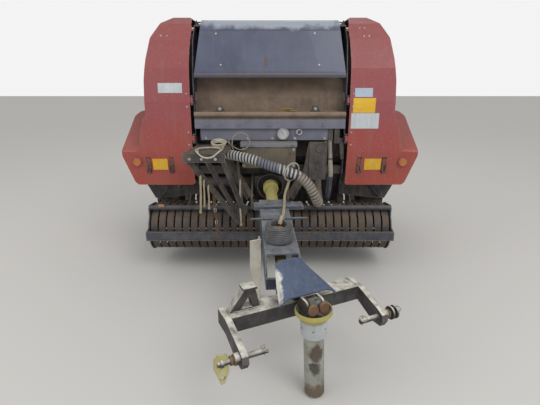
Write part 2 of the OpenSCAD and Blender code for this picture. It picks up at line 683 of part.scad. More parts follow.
// drawbar: inverted channel with a fork round the chassis tongue
module drawbar() {
    side = [[-280, fork_z - 15], [-280, 722], [-drawbar_l + 130, 629], [-drawbar_l + 70, 506],
        [-drawbar_l + 70, 440], [-drawbar_l + 180, 440], [-700, 480]];
    color(navy) place() at_drawbar() {
        difference() {
            union() {
                along_x(-100, -90, side);
                along_x(90, 100, side);
                along_x(-100, 100, [[-280, 722], [-280, 714], [-drawbar_l + 130, 621],
                    [-drawbar_l + 130, 629]]);
                block([-140, -440, 709], [205, -335, 722]);
                block([-140, -440, 697], [205, -430, 710]);
                bar_x(8, -170, 205, -600, 688);
                block([-100, -285, fork_z - 15], [100, -100, fork_z - 3]);
                for (s = [-1, 1])
                    block([s * 74 - 26, -285, fork_z + 52], [s * 74 + 26, -100, fork_z + 64]);
                for (z = [fork_z - 15, fork_z + 52]) {
                    block([-76, -105, z], [76, 0, z + 12]);
                    translate([0, 0, z]) cylinder(r = 76, h = 12, $fn = 64);
                }
                block([-100, -300, fork_z - 15], [100, -280, fork_z + 40]);
                block([-100, -drawbar_l + 62, 440], [100, -drawbar_l + 82, 506]);
                for (z = [440, 492]) {
                    block([-46, -drawbar_l, z], [46, -drawbar_l + 70, z + 14]);
                    translate([0, -drawbar_l, z]) cylinder(r = 46, h = 14, $fn = 64);
                }
                bar_x(16, -126, -98, stand_y, stand_z);
            }
            translate([0, -drawbar_l, 400]) cylinder(r = 20 + run_fit, h = 200, $fn = 64);
        }
        translate([0, 0, fork_z - 23]) cylinder(r = 25, h = 88, $fn = 64);
    }
}

// parking stand on a pin at the drawbar's left: leaning leg plate, web and foot
stand_y = -660;
stand_z = 540;
stand_lean = 22;
module parking_stand() {
    leg = stand_z / cos(stand_lean);
    color(dust) place() at_drawbar() {
        difference() {
            union() {
                translate([0, stand_y, stand_z]) rotate([stand_lean, 0, 0]) {
                    translate([0, -18, 0]) rotate([90, 0, 0]) linear_extrude(10)
                        polygon([[-180, 45], [-106, 62], [-104, -300], [-112, 12 - leg],
                            [-140, 12 - leg], [-180, -200]]);
                    block([-124, -19, 20 - leg], [-112, 26, 40]);
                }
                bar_x(34, -124, -112, stand_y, stand_z);
                block([-165, stand_y + 175, 0], [-95, stand_y + 265, 12]);
            }
            bar_x(16 + run_fit, -150, -100, stand_y, stand_z);
        }
    }
}

// hitch yoke: pivot eye, cross beam, bearing, arms, gusset and lower link pins
link_y = -336;
module hitch_yoke() {
    half = arm_gap / 2;
    color(navy) place() at_yoke() {
        translate([0, 0, 455]) cylinder(r = 46, h = 36, $fn = 64);
        translate([0, 0, 430]) cylinder(r = 20, h = 86, $fn = 64);
        block([-40, -60, 455], [40, -20, 490]);
        block([-half - 16, -165, 410], [half + 16, -52, 490]);
        block([joint_x - 44, -150, 489], [joint_x + 44, -95, 575]);
        along_x(joint_x - 30, joint_x + 30, [[-150, 570], [-150, 586.5], [-122, 598.2], [-122, 570]]);
        translate([joint_x, -149, joint_z]) rotate([90, 0, 0]) cylinder(r = 20, h = 70, $fn = 48);
        block([joint_x - 50, -227, joint_z - 24], [joint_x + 50, -215, joint_z + 24]);
        for (e = [-1, 1]) {
            block([joint_x + e * 44 - 6, joint_y, joint_z - 24], [joint_x + e * 44 + 6, -215, joint_z + 24]);
            bar_x(24, joint_x + e * 44 - 6, joint_x + e * 44 + 6, joint_y, joint_z);
        }
        bar_x(12, joint_x - 50, joint_x + 50, joint_y, joint_z);
        for (s = [-1, 1]) {
            along_x(s * half - 16, s * half + 16, [[-52, 410], [-52, 490], [-165, 490],
                [link_y, hitch_z + 43], [link_y - 38, hitch_z + 26], [link_y - 46, hitch_z - 8],
                [link_y - 26, hitch_z - 42], [link_y + 34, hitch_z - 44], [-165, 410]]);
            bar_x(link_pin_r, s > 0 ? half - 124 : -half - 118, s > 0 ? half + 118 : 124 - half,
                link_y, hitch_z);
            bar_x(27, s > 0 ? half + 15 : -half - 40, s > 0 ? half + 40 : -half - 15, link_y, hitch_z);
        }
        for (x = [half + 66, half + 92]) bar_x(36, x, x + 9, link_y, hitch_z);
        bar_x(20, -half - 104, -half - 90, link_y, hitch_z);
        translate([-half - 96, link_y + 5, hitch_z]) rotate([90, 0, 0]) linear_extrude(9) difference() {
            polygon([[-34, 30], [-20, 44], [24, 40], [30, -50], [10, -104], [-8, -108], [-36, -20]]);
            translate([2, -76]) circle(r = 11, $fn = 32);
        }
        difference() {
            translate([0, -70, 0]) rotate([90, 0, 0]) linear_extrude(50)
                polygon([[-366, 489], [-284, 596], [-226, 596], [-200, 489]]);
            translate([0, -60, 0]) rotate([90, 0, 0]) linear_extrude(80)
                polygon([[-306, 498], [-256, 566], [-240, 498]]);
        }
        block([-290, -126, 595], [-218, -64, 606]);
    }
}

// bent sheet shield over the hitch's joint: three rings, each y, half widths and heights
shield_rows = [[0, [82, 64, 42], [636, 649, 655]], [-110, [125, 108, 76], [566, 596, 610]],
    [-225, [165, 148, 106], [526, 548, 562]]];
function shield_ring(r) = concat(
    [for (i = [0:2]) [joint_x + r[1][i], r[0], r[2][i]]],
    [for (i = [2:-1:0]) [joint_x - r[1][i], r[0], r[2][i]]],
    [for (i = [0:2]) [joint_x - 0.96 * r[1][i], r[0], r[2][i] - 6]],
    [for (i = [2:-1:0]) [joint_x + 0.96 * r[1][i], r[0], r[2][i] - 6]]);
module hitch_shield() { color(navy) place() at_yoke() ring_loft([for (r = shield_rows) shield_ring(r)]); }

// a bent sheet through a row of rings: each ring's outer points, then its inner ones back
module ring_loft(rings) {
    n = len(rings[0]);
    m = len(rings) - 1;
    sides = [for (i = [0:m - 1], k = [0:n - 1]) let (a = i * n + k, b = i * n + (k + 1) % n)
        each k < n / 2 ? [[a + n, b + n, b], [a + n, b, a]] : [[a + n, b + n, a], [b + n, b, a]]];
    end = [for (k = [0:n / 2 - 2]) each [[k, k + 1, n - 1 - k], [k + 1, n - 2 - k, n - 1 - k]]];
    polyhedron([for (r = rings, p = r) p], concat(sides, end,
        [for (t = end) [for (j = [2:-1:0]) m * n + t[j]]]));
}

// half shaft to the tractor: hangs from the hitch's joint, its end on the ground
pto_top = [joint_x, joint_y, joint_z];
pto_low = [joint_x + 16, joint_y - 12, 12];
module pto_shaft() {
    d = (pto_low - pto_top) / norm(pto_low - pto_top);
    color([0.80, 0.76, 0.62]) place() at_yoke() {
        difference() {
            union() {
                rod_between(pto_top, pto_low, 18);
                bar_x(30, joint_x - 33, joint_x + 33, joint_y, joint_z);
            }
            bar_x(12 + run_fit, joint_x - 60, joint_x + 60, joint_y, joint_z);
        }
        rod_between(pto_top + 160 * d, pto_low, 52);
        translate(pto_top) rotate([0, acos(d.z), atan2(d.y, d.x)]) rotate_extrude($fn = 64)
            polygon([[48, 170], [62, 165], [62, 94], [66, 86], [83, 52], [92, 48], [92, 28],
                [88, 28], [87, 44], [80, 49], [60, 84], [48, 90]]);
    }
}

// a point on the smooth curve through four points
function curve_pt(p, t) = 0.5 * (2 * p[1] + (p[2] - p[0]) * t
    + (2 * p[0] - 5 * p[1] + 4 * p[2] - p[3]) * t * t
    + (3 * p[1] - p[0] - 3 * p[2] + p[3]) * t * t * t);
function curve(q, n) = [for (i = [0:len(q) - 2], k = [0:n - 1])
    curve_pt([q[max(i - 1, 0)], q[i], q[i + 1], q[min(i + 2, len(q) - 1)]], k / n), q[len(q) - 1]];
function unit(v) = v / norm(v);
function tangent(c, q, i) = i == 0 ? unit(q[1] - q[0])
    : i == len(c) - 1 ? unit(q[len(q) - 1] - q[len(q) - 2]) : unit(c[i + 1] - c[i - 1]);

// a plain tube swept along a curve, closed at both ends
module tube(q, r, n, sides, ref) {
    c = curve(q, n);
    pts = [for (i = [0:len(c) - 1])
        let (t = tangent(c, q, i), u = unit(cross(t, ref)), v = cross(t, u))
        for (k = [0:sides - 1]) c[i] + r * (cos(k * 360 / sides) * u + sin(k * 360 / sides) * v)];
    quads = [for (i = [0:len(c) - 2], k = [0:sides - 1])
        let (a = i * sides + k, b = i * sides + (k + 1) % sides) [a, b, b + sides, a + sides]];
    ends = [[for (k = [sides - 1:-1:0]) k], [for (k = [0:sides - 1]) (len(c) - 1) * sides + k]];
    polyhedron(pts, [for (f = concat(quads, ends)) [for (i = [len(f) - 1:-1:0]) f[i]]]);
}

// thick spiral-wrapped hose bundle from the shelf across to the right
bundle_pts = [[-434, -965, 996], [-385, -965, 996], [-318, -1050, 1000], [-155, -1120, 978],
    [-18, -1150, 937], [115, -1170, 898], [220, -1180, 857], [293, -1190, 796], [348, -1190, 700],
    [380, -1130, 632], [398, -1006, 604], [400, -888, 650], [400, -827, 745], [400, -827, 800]];
module hose_bundle() { color(black) place() tube(bundle_pts, 40, 3, 12, [0.5, 1, 0.2]); }

// single hose at the right of the bolted plate
right_pts = [[486, -922, 1095], [486, -922, 1055], [486, -990, 940], [490, -1020, 830],
    [482, -1024, 700], [478, -985, 622], [482, -900, 590], [490, -825, 650], [495, -818, 750],
    [495, -818, 800]];
module hose_right() { color(black) place() tube(right_pts, 19, 3, 12, [1, 0.2, 0.1]); }

// coil of cable lying on the drawbar
module cable_coil() {
    color(black) place() at_drawbar() translate([-8, -868, 650.5]) rotate([7.04, 0, 0])
        rotate_extrude($fn = 48) for (h = [21, 55, 89]) translate([68, h]) circle(r = 21, $fn = 24);
}

chassis_frame();
wall_left();
wall_right();
front_rollers();
body_sheets();
net_tray();
gauge_panel();
front_hood();
main_gearbox();
main_driveline();
front_brackets();
middle_box();
side_guards();
chain_drive_left();
chain_drive_right();
cover_left();
cover_right();
lamp_left();
lamp_right();
gate_wall_left();
gate_wall_right();
gate_skin();
gate_rollers();
gate_cover_left();
gate_cover_right();
gate_lamps();
cylinder_left();
cylinder_right();
rod_left();
rod_right();
pickup_frame();
pickup_bands();
pickup_reel();
tyre_left();
tyre_right();
rim_left();
rim_right();
drawbar();
parking_stand();
hitch_yoke();
hitch_shield();
pto_shaft();
hose_bundle();
hose_right();
cable_coil();
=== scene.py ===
"""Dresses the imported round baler: finishes, hoses, ropes, bolts, blank labels, camera and light."""

import logging
import random
from collections.abc import Callable
from dataclasses import dataclass
from enum import Enum
from functools import partial
from math import acos, atan2, copysign, cos, pi, radians, sin, tau

import bmesh
import bpy
from mathutils import Matrix, Vector


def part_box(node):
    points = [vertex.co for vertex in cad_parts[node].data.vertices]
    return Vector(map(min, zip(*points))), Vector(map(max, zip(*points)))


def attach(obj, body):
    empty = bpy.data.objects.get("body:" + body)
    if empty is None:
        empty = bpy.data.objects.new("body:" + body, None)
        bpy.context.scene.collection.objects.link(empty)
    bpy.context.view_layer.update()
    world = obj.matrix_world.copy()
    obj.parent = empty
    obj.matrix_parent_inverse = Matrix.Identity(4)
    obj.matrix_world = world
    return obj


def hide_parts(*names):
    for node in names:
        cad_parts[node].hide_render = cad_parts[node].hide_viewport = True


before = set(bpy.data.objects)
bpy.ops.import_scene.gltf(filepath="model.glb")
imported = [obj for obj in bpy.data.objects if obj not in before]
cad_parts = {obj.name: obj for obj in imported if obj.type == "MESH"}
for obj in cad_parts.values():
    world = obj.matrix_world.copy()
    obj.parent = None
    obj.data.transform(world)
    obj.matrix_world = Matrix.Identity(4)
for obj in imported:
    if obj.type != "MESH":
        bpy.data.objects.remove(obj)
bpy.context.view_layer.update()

LOG = logging.getLogger("round_baler")
MM = 0.001
# sizes are in mm, and those along Y are counted from the chamber's middle, as in part.scad
AXLE_Y, AXLE_Z, WHEEL_X = 130, 420, 1020
MID_Y = round(sum(corner.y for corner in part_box("rim_left")) / 2 / MM - AXLE_Y, 2)
# the tailgate's round back: height of its middle, and radius of its outside
GATE_Z, GATE_R = 1230, 776
# the drawbar's pivot and length, its swing at rest and the turn of the yoke on it
PIVOT_Y, DRAWBAR_L = -1085, 1160
SWING, YOKE = radians(4), radians(21.3)
# in the yoke's frame: middle of the shaft's joint, then the lower link pins' line and the arms
JOINT = (20, -268, 528)
LINK_Y, HITCH_Z, ARM_HALF = -336, 398, 385
FRONT, REAR, UP, RIGHT = Vector((0, -1, 0)), Vector((0, 1, 0)), Vector((0, 0, 1)), Vector((1, 0, 0))

Pair = tuple[float, float]
Triple = tuple[float, float, float]
Placer = Callable[[float, float, float], Vector]
Piece, Socket = bpy.types.Object, bpy.types.NodeSocket
# what an input of a node takes: another node's output, or a value
Feed = Socket | bpy.types.Material | float | str | tuple[float, ...]


def place(x: float, y: float, z: float) -> Vector:
    """Turns a point of the chamber's frame, in mm, into the row frame in metres."""
    return Vector((x, y + MID_Y, z)) * MM


def on_drawbar(x: float, y: float, z: float) -> Vector:
    """Turns a point of the drawbar's frame, in mm and ahead negative, into the row frame in metres."""
    p = Matrix.Rotation(SWING, 3, "Z") @ Vector((x, y, 0))
    return place(p.x, p.y + PIVOT_Y, z)


def on_yoke(x: float, y: float, z: float) -> Vector:
    """Turns a point of the hitch yoke's frame, in mm and ahead negative, into the row frame in metres."""
    p = Matrix.Rotation(YOKE, 3, "Z") @ Vector((x, y, 0))
    return on_drawbar(p.x, p.y - DRAWBAR_L, z)


def cover_face(z: float) -> float:
    """Finds where the side covers' front face lies at a height.

    Args:
        z: height in mm.

    Returns:
        Its y in mm.
    """
    rows = ((716, -905), (1000, -945), (1400, -952), (1650, -925), (1860, -860), (1985, -760), (2046, -600))
    for (z0, y0), (z1, y1) in zip(rows, rows[1:]):
        if z <= z1:
            return y0 + (y1 - y0) * (z - z0) / (z1 - z0)
    return rows[-1][1]


def hood_face(z: float) -> float:
    """Returns the y of the hood's leaning face at a height, in mm."""
    return -836 - (1934 - z) * 92 / 312


def around(count: int, first: float = 0.0) -> list[float]:
    """Returns the angles of equal steps round a full turn."""
    return [k * tau / count + first for k in range(count)]


def turned(start: Vector, end: Vector, angle: float) -> Vector:
    """Returns the direction at an angle from one direction towards another across it."""
    return cos(angle) * start + sin(angle) * end


def smooth(points: list[Vector], steps: int) -> list[Vector]:
    """Draws the smooth curve through some points, by the rule that part.scad uses.

    Args:
        points: the points to pass through.
        steps: new points for each given one.

    Returns:
        The points along the curve.
    """
    out = []
    for i in range(len(points) - 1):
        a, b, c, d = (points[max(0, min(i + k, len(points) - 1))] for k in (-1, 0, 1, 2))
        for k in range(steps):
            t = k / steps
            out.append(0.5 * (2 * b + (c - a) * t + (2 * a - 5 * b + 4 * c - d) * t * t
                    + (3 * b - a - 3 * c + d) * t ** 3))
    return out + [points[-1]]


def run_length(path: list[Vector]) -> float:
    """Returns the length of a path in metres."""
    return sum((b - a).length for a, b in zip(path, path[1:]))


def even(path: list[Vector], step: float) -> list[Vector]:
    """Spreads points along a path at equal distances.

    Args:
        path: the points of the path.
        step: about the distance wanted, in metres.

    Returns:
        The new points, ends included.
    """
    count = max(2, round(run_length(path) / step))
    gap = run_length(path) / count
    out, gone, due = [path[0].copy()], 0.0, gap
    for a, b in zip(path, path[1:]):
        span = (b - a).length
        while span > 0 and gone + span >= due - 1e-9 and len(out) < count:
            out.append(a.lerp(b, (due - gone) / span))
            due += gap
        gone += span
    return out + [path[-1].copy()]


def frames(path: list[Vector]) -> list[tuple[Vector, Vector, Vector]]:
    """Carries a cross frame along a path without twist.

    Args:
        path: the points of the path.

    Returns:
        For each point two directions across the path and the one along it.
    """
    out: list[tuple[Vector, Vector, Vector]] = []
    across = None
    for i in range(len(path)):
        along = (path[min(i + 1, len(path) - 1)] - path[max(i - 1, 0)]).normalized()
        across = along.orthogonal() if across is None else across - along * across.dot(along)
        across = across.normalized()
        out.append((across, along.cross(across), along))
    return out


def linear(code: str) -> tuple[float, float, float, float]:
    """Turns an sRGB colour of six hex digits into the shader's linear red, green, blue and alpha."""
    parts = [int(code[i:i + 2], 16) / 255 for i in (0, 2, 4)]
    return (*[c / 12.92 if c <= 0.04045 else ((c + 0.055) / 1.055) ** 2.4 for c in parts], 1.0)


def add_node(tree: bpy.types.NodeTree, kind: str, values: dict[str | int, Feed] | None = None,
        **settings: str | int) -> bpy.types.Node:
    """Adds one node with its settings, input values and links.

    Args:
        tree: the node tree.
        kind: the node's type name.
        values: input name or number to a value, or to the socket that feeds it.
        settings: properties of the node itself.

    Returns:
        The new node.
    """
    node = tree.nodes.new(kind)
    for name, value in settings.items():
        setattr(node, name, value)
    for key, value in (values or {}).items():
        if isinstance(value, Socket):
            tree.links.new(value, node.inputs[key])
        else:
            node.inputs[key].default_value = value
    return node


# dark grime in the grain of every surface, how deep the grain is, and how far an edge's wear reaches
GRIME, GRIME_SHARE = "1a1714", 0.12
BUMP_DEPTH, EDGE_REACH = 0.002, 0.006


@dataclass(frozen=True)
class Zone:
    """A soft-edged ellipsoid in the row frame where a surface has another colour."""

    centre: Triple
    radii: Triple
    colour: str
    share: float = 0.8


@dataclass(frozen=True)
class Finish:
    """A weathered surface: a coat, its fading, the dust that lies on it and what wear lays bare; on some
    finishes zones and pale tops are painted light and shade.

    Sizes are in metres on the object. Amounts run from 0 to 1.
    """

    name: str
    coat: str
    faded: str
    dust: str = "8d7d66"
    bare: str = "6b5748"
    fade_low: float = 0.0
    fade_high: float = 0.0
    patch: float = 0.12
    dust_level: float = 0.35
    top_dust_and_light: float = 0.5
    wear: float = 0.0
    scratches: float = 0.0
    streaks: float = 0.25
    grain: float = 0.003
    bump: float = 0.15
    rough: float = 0.5
    metallic: float = 0.0
    coat_gloss: float = 0.0
    zones: tuple[Zone, ...] = ()

    def build(self) -> bpy.types.Material:
        """Builds the node material.

        Returns:
            The material.
        """
        material = bpy.data.materials.new(self.name)
        material.use_nodes = True
        tree = material.node_tree
        tree.nodes.clear()
        make = partial(add_node, tree)
        where = make("ShaderNodeTexCoord").outputs["Object"]
        facing = make("ShaderNodeNewGeometry").outputs["Normal"]
        up = make("ShaderNodeSeparateXYZ", {0: facing}).outputs["Z"]
        height = make("ShaderNodeSeparateXYZ", {0: where}).outputs["Z"]

        def noise(size: float, detail: float = 4.0, rough: float = 0.6,
                at: Socket = where) -> Socket:
            """Returns the value of a noise pattern of that size in metres."""
            return make("ShaderNodeTexNoise", {
                "Vector": at, "Scale": 1 / size, "Detail": detail, "Roughness": rough}).outputs[0]

        def band(value: Socket, low: float, high: float,
                top: float = 1.0) -> Socket:
            """Returns value mapped from low..high to 0..top, clamped."""
            return make("ShaderNodeMapRange", {
                "Value": value, "From Min": low, "From Max": high, "To Max": top}).outputs[0]

        def blend(share: Socket, first: Feed, second: Feed) -> Socket:
            """Returns the mix of two colours."""
            return make("ShaderNodeMix", {0: share, 6: first, 7: second}, data_type="RGBA").outputs[2]

        def both(kind: str, first: Socket, second: Feed) -> Socket:
            """Returns a math node's clamped result."""
            return make("ShaderNodeMath", {0: first, 1: second}, operation=kind, use_clamp=True).outputs[0]

        large = noise(self.patch)
        fine = noise(self.grain, 2.0)
        fade = band(large, 0.35, 0.68)
        if self.fade_high > self.fade_low:
            rise = band(height, self.fade_low, self.fade_high)
            fade = both("ADD", both("MULTIPLY", rise, 0.8), both("MULTIPLY", fade, 0.35))
        colour = blend(fade, linear(self.coat), linear(self.faded))
        for zone in self.zones:
            spot = make("ShaderNodeMapping", {
                "Vector": where, "Scale": tuple(1 / r for r in zone.radii),
                "Location": tuple(-c / r for c, r in zip(zone.centre, zone.radii))}).outputs[0]
            far = make("ShaderNodeVectorMath", {0: spot}, operation="LENGTH").outputs["Value"]
            ragged = band(noise(self.patch * 0.4), 0.3, 0.7, 0.6)
            ragged = make("ShaderNodeMath", {0: far, 1: ragged}, operation="ADD").outputs[0]
            near = band(ragged, 1.4, 1.0, zone.share)
            colour = blend(near, colour, linear(zone.colour))
        # rain runs: noise drawn out downwards
        stretched = make("ShaderNodeMapping", {"Vector": where, "Scale": (1, 1, 0.08)}).outputs[0]
        runs = band(noise(0.035, 3.0, 0.55, stretched), 0.52, 0.75, self.streaks)
        colour = blend(runs, colour, linear(self.dust))
        # dust lies on what looks up and clings in patches elsewhere; on the hitch the pale upward faces are
        # also painted sunlight
        lying_dust_and_lit_tops = both("MULTIPLY", band(up, 0.15, 0.85, self.top_dust_and_light), band(noise(0.05), 0.2, 0.6))
        clinging = band(noise(self.patch * 0.7, 6.0, 0.7), 0.45, 0.75, self.dust_level)
        colour = blend(both("MAXIMUM", lying_dust_and_lit_tops, clinging), colour, linear(self.dust))
        if self.scratches:
            thin = make("ShaderNodeMapping", {
                "Vector": where, "Scale": (1, 0.06, 0.25), "Rotation": (0.5, 0.3, 0.2)}).outputs[0]
            lines = band(noise(0.004, 1.0, 0.5, thin), 0.68, 0.74, self.scratches)
            colour = blend(lines, colour, linear(self.bare))
        if self.wear:
            # edges are where the surface turns within a few millimetres
            soft = make("ShaderNodeBevel", {"Radius": EDGE_REACH}, samples=4).outputs[0]
            same = make("ShaderNodeVectorMath", {0: soft, 1: facing}, operation="DOT_PRODUCT")
            edge = band(same.outputs["Value"], 0.985, 0.86)
            edge = both("MULTIPLY", edge, band(noise(0.03, 5.0, 0.7), 0.48 - 0.2 * self.wear, 0.62))
            chips = band(noise(0.02, 6.0, 0.75), 0.74 - 0.08 * self.wear, 0.78 - 0.08 * self.wear)
            colour = blend(both("MAXIMUM", edge, chips), colour, linear(self.bare))
        colour = blend(both("MULTIPLY", band(fine, 0.2, 0.8), GRIME_SHARE), colour, linear(GRIME))
        rough = band(large, 0.3, 0.7)
        rough = make("ShaderNodeMapRange", {
            "Value": rough, "To Min": self.rough, "To Max": min(1.0, self.rough + 0.2)}).outputs[0]
        bump = make("ShaderNodeBump", {
            "Strength": self.bump, "Distance": BUMP_DEPTH, "Height": fine}).outputs[0]
        shader = make("ShaderNodeBsdfPrincipled", {
            "Base Color": colour, "Roughness": rough, "Normal": bump, "Metallic": self.metallic,
            "Coat Weight": self.coat_gloss})
        make("ShaderNodeOutputMaterial", {"Surface": shader.outputs[0]})
        return material


def zone_at(point: Vector, radii: Triple, colour: str, share: float = 0.8) -> Zone:
    """Makes a zone round a point of the row frame, with half sizes in mm."""
    return Zone(tuple(point), tuple(r * MM for r in radii), colour, share)


# stove enamel on sheet steel, dulled by the sun: dark blue-grey, dust in the corners
NAVY = Finish("navy_enamel_on_sheet_steel", "343949", "4a5060", bare="8c8478", wear=0.35, dust_level=0.3,
    rough=0.42)
# the front group stands in chaff: the enamel is brown with it
FRAME = Finish("navy_enamel_under_chaff", "34333a", "4b4944", dust="7c6e60", bare="9a8a74", wear=0.45,
    dust_level=0.6, top_dust_and_light=0.75, streaks=0.4, rough=0.6)
# the front panel's enamel is bleached to a lighter blue-grey
PANEL = Finish("bleached_blue_grey_panel_enamel", "686b7c", "797c8a", bare="a09a90", dust="84796e",
    dust_level=0.3, streaks=0.3, rough=0.45)
# the pickup's enamel is rubbed by the crop and stays bluer than the frame
PICKUP = Finish("crop_rubbed_pickup_enamel", "3a404c", "4a4f5a", dust="7a6f63", bare="9a9890", wear=0.5,
    dust_level=0.5, top_dust_and_light=0.6, streaks=0.3)
# the drawbar's enamel, rubbed bright by boots and hoses
DRAWBAR = Finish("rubbed_blue_grey_drawbar_enamel", "39414f", "4a5465", dust="9a9a98", bare="bdb6a8",
    wear=0.5, dust_level=0.15, top_dust_and_light=0.55, streaks=0.05, scratches=0.2, rough=0.42)
# the hood's enamel keeps more gloss; rust runs down from a screw hole, dust lies along the lip, and a pale
# blue-grey band along its top is a painted highlight
HOOD = Finish("navy_enamel_on_pressed_hood", "4f566c", "60667b", dust_level=0.08, top_dust_and_light=0.06,
    dust="7f7d80", scratches=0.25, streaks=0.12, rough=0.34, coat_gloss=0.15, patch=0.3, zones=(
        zone_at(place(-31, -915, 1690), (16, 60, 46), "6f4a38", 0.7),
        # pale blue-grey band along the hood's top: painted highlight
        zone_at(place(0, -800, 2010), (700, 200, 75), "a9afb9", 0.85),
        zone_at(place(0, -935, 1600), (700, 40, 13), "6d6058", 0.85)))
# moulded and painted plastic covers, bleached pink by the sun towards the top
RED = Finish("faded_red_moulded_cover", "a64739", "994d52", bare="c9a096", dust="8f7a68", fade_low=0.95,
    fade_high=1.35, wear=0.45, scratches=0.5, streaks=0.2, dust_level=0.16, top_dust_and_light=0.25, rough=0.4,
    patch=0.35)
# enamel under a thick coat of dry chaff dust: almost no navy shows
DUSTY = Finish("enamel_under_chaff_dust", "6f6053", "8c7969", dust="948070", dust_level=0.8, top_dust_and_light=0.9,
    rough=0.75, streaks=0.5)
# the box's lid: its enamel still shows blue-grey under the dust
LID = Finish("dusty_blue_grey_enamel_box", "5c564e", "6f6557", dust="82735c", dust_level=0.7, top_dust_and_light=0.8,
    rough=0.7, zones=(
        zone_at(place(0, -900, 1080), (400, 200, 42), "7f8490", 0.9),))
# rolled steel, polished by the crop in service and rusted since
STEEL = Finish("crop_worn_rolled_steel", "5c5650", "6f675e", bare="7a4a2c", dust_level=0.45, wear=0.3,
    metallic=0.4)
# cast gearbox and its rubber bell, dark grey
GEARBOX = Finish("oily_cast_gearbox", "3a3a3e", "4a4744", dust="6a5d4b", dust_level=0.5, wear=0.2,
    rough=0.55)
# chromed piston rod
CHROME = Finish("ground_chrome_rod", "b9babd", "a9aaae", dust_level=0.08, top_dust_and_light=0.1, streaks=0.0,
    rough=0.16, metallic=1.0, bump=0.02)
# zinc-plated fasteners, still bright on their heads
ZINC = Finish("zinc_plated_fastener", "cbc9c2", "b3afa7", bare="7a5a40", dust_level=0.2, wear=0.15,
    rough=0.35, metallic=0.35)
# black tyre rubber with earth in the tread
RUBBER = Finish("moulded_tyre_rubber", "1d1c1b", "2e2b28", dust="6f6250", dust_level=0.45, rough=0.8)
# black hose cover, blue where the dust is wiped off
HOSE = Finish("extruded_hose_rubber", "2a2e3a", "424a5c", dust="7a6d5a", dust_level=0.3, top_dust_and_light=0.35,
    rough=0.55)
# white strip wound round the hoses
SPIRAL = Finish("wound_white_plastic_strip", "c9c8c4", "b0aca2", dust="8b7e68", dust_level=0.3, top_dust_and_light=0.3,
    rough=0.45)
# bluish film under the steel ring
FILM = Finish("wound_bluish_film", "65697a", "7c8090", dust="8f8678", dust_level=0.3, top_dust_and_light=0.3,
    rough=0.35)
# the strip lower down, brown with dust
WRAP = Finish("wound_dusty_plastic_strip", "8d8479", "a1978a", dust="6b5e4a", dust_level=0.4, rough=0.6)
# twisted rope, bleached and dusty
ROPE = Finish("twisted_polypropylene_rope", "c0b49a", "a2947a", dust="7d705a", rough=0.85, grain=0.002,
    bump=0.5)
# pale cable sheath
CABLE = Finish("pale_cable_sheath", "cfcabb", "b4ad9c", dust="8b7e68", dust_level=0.3)
# sheath of the coiled control cable, dark and glossy
COIL = Finish("glossy_black_cable_sheath", "34363e", "585b64", dust="a09a90", dust_level=0.25, top_dust_and_light=0.3,
    rough=0.22)
# cream enamel of the wheel rims, rusty at its edges
RIM = Finish("cream_enamel_rim", "cfc8b4", "b8ae97", dust_level=0.4, wear=0.3, bare="7a4a2c", rough=0.45)
# yellow-green plastic guard over the main driveline
YELLOW = Finish("faded_yellow_guard_plastic", "aaa256", "bab066", rough=0.6)
# cream guard tube, with brown and black stains towards the ground, and painted shade inside its cone
CREAM = Finish("dirty_cream_guard_tube_painted_shade_in_cone", "a9aaa1", "8b8b82", dust="5a4d3c", dust_level=0.4, top_dust_and_light=0.2,
    rough=0.55, bare="6b3b20", wear=0.2, patch=0.09, zones=(
        zone_at(on_yoke(12, -320, 268), (38, 60, 60), "4d4034", 0.9),
        zone_at(on_yoke(4, -322, 185), (34, 60, 42), "35302a", 0.85),
        zone_at(on_yoke(36, -300, 40), (75, 75, 62), "5f4a36", 0.85),
        # near-black patch inside the cone: painted shade
        zone_at(on_yoke(20, -268, 505), (84, 84, 66), "262320", 0.95)))
# white collar of the guard
WHITE = Finish("white_guard_collar", "bcc2c6", "a6aaab", dust="8b7e68", dust_level=0.25, rough=0.45)
# enamelled stripper bands, rusty where the crop runs
BANDS = Finish("rusty_stripper_band", "43454f", "5c4e43", bare="8b5c38", dust="80705a", dust_level=0.5,
    wear=0.5, rough=0.55, metallic=0.2)
# the parking stand's pale enamel, lightened to nearly white as painted sunlight
STAND = Finish("pale_stand_enamel_painted_sunlit", "dcd8c8", "ebe7da", dust="b7ae98", dust_level=0.3, bare="8a5a38",
    wear=0.4, rough=0.6)
# hitch enamel, dark brown-blue below; its near-white upward faces are pale dust and painted sunlight
HITCH = Finish("hitch_enamel_pale_dust_and_painted_sunlit_tops", "302e30", "3f3b3b", dust="d6d2c6", bare="8c8478",
    dust_level=0.1, top_dust_and_light=1.0, streaks=0.05, wear=0.4, zones=(
        zone_at(on_yoke(20, -262, 528), (75, 64, 64), "3c322b", 0.9),))
# the bent shield, blue-grey enamel rubbed and scratched; the near-white patch on its left flange is a
# painted highlight
SHIELD = Finish("rubbed_blue_grey_shield_painted_flange_highlight", "3a4964", "4b5b78", dust="8b9098", dust_level=0.15, top_dust_and_light=0.15,
    bare="c2beb4", scratches=0.25, streaks=0.1, zones=(
        # near-white patch on the left flange: painted highlight
        zone_at(on_yoke(-122, -120, 575), (44, 170, 75), "e4e3d8", 0.95),))
# amber lenses of the front lamps, and red ones of the rear lamps
AMBER = Finish("amber_lens_acrylic", "b8642c", "cb7f42", dust_level=0.2, top_dust_and_light=0.2, streaks=0.1,
    rough=0.25, coat_gloss=0.3)
REAR_RED = Finish("red_lens_acrylic", "a01c18", "b03028", dust_level=0.2, streaks=0.1, rough=0.25,
    coat_gloss=0.3)
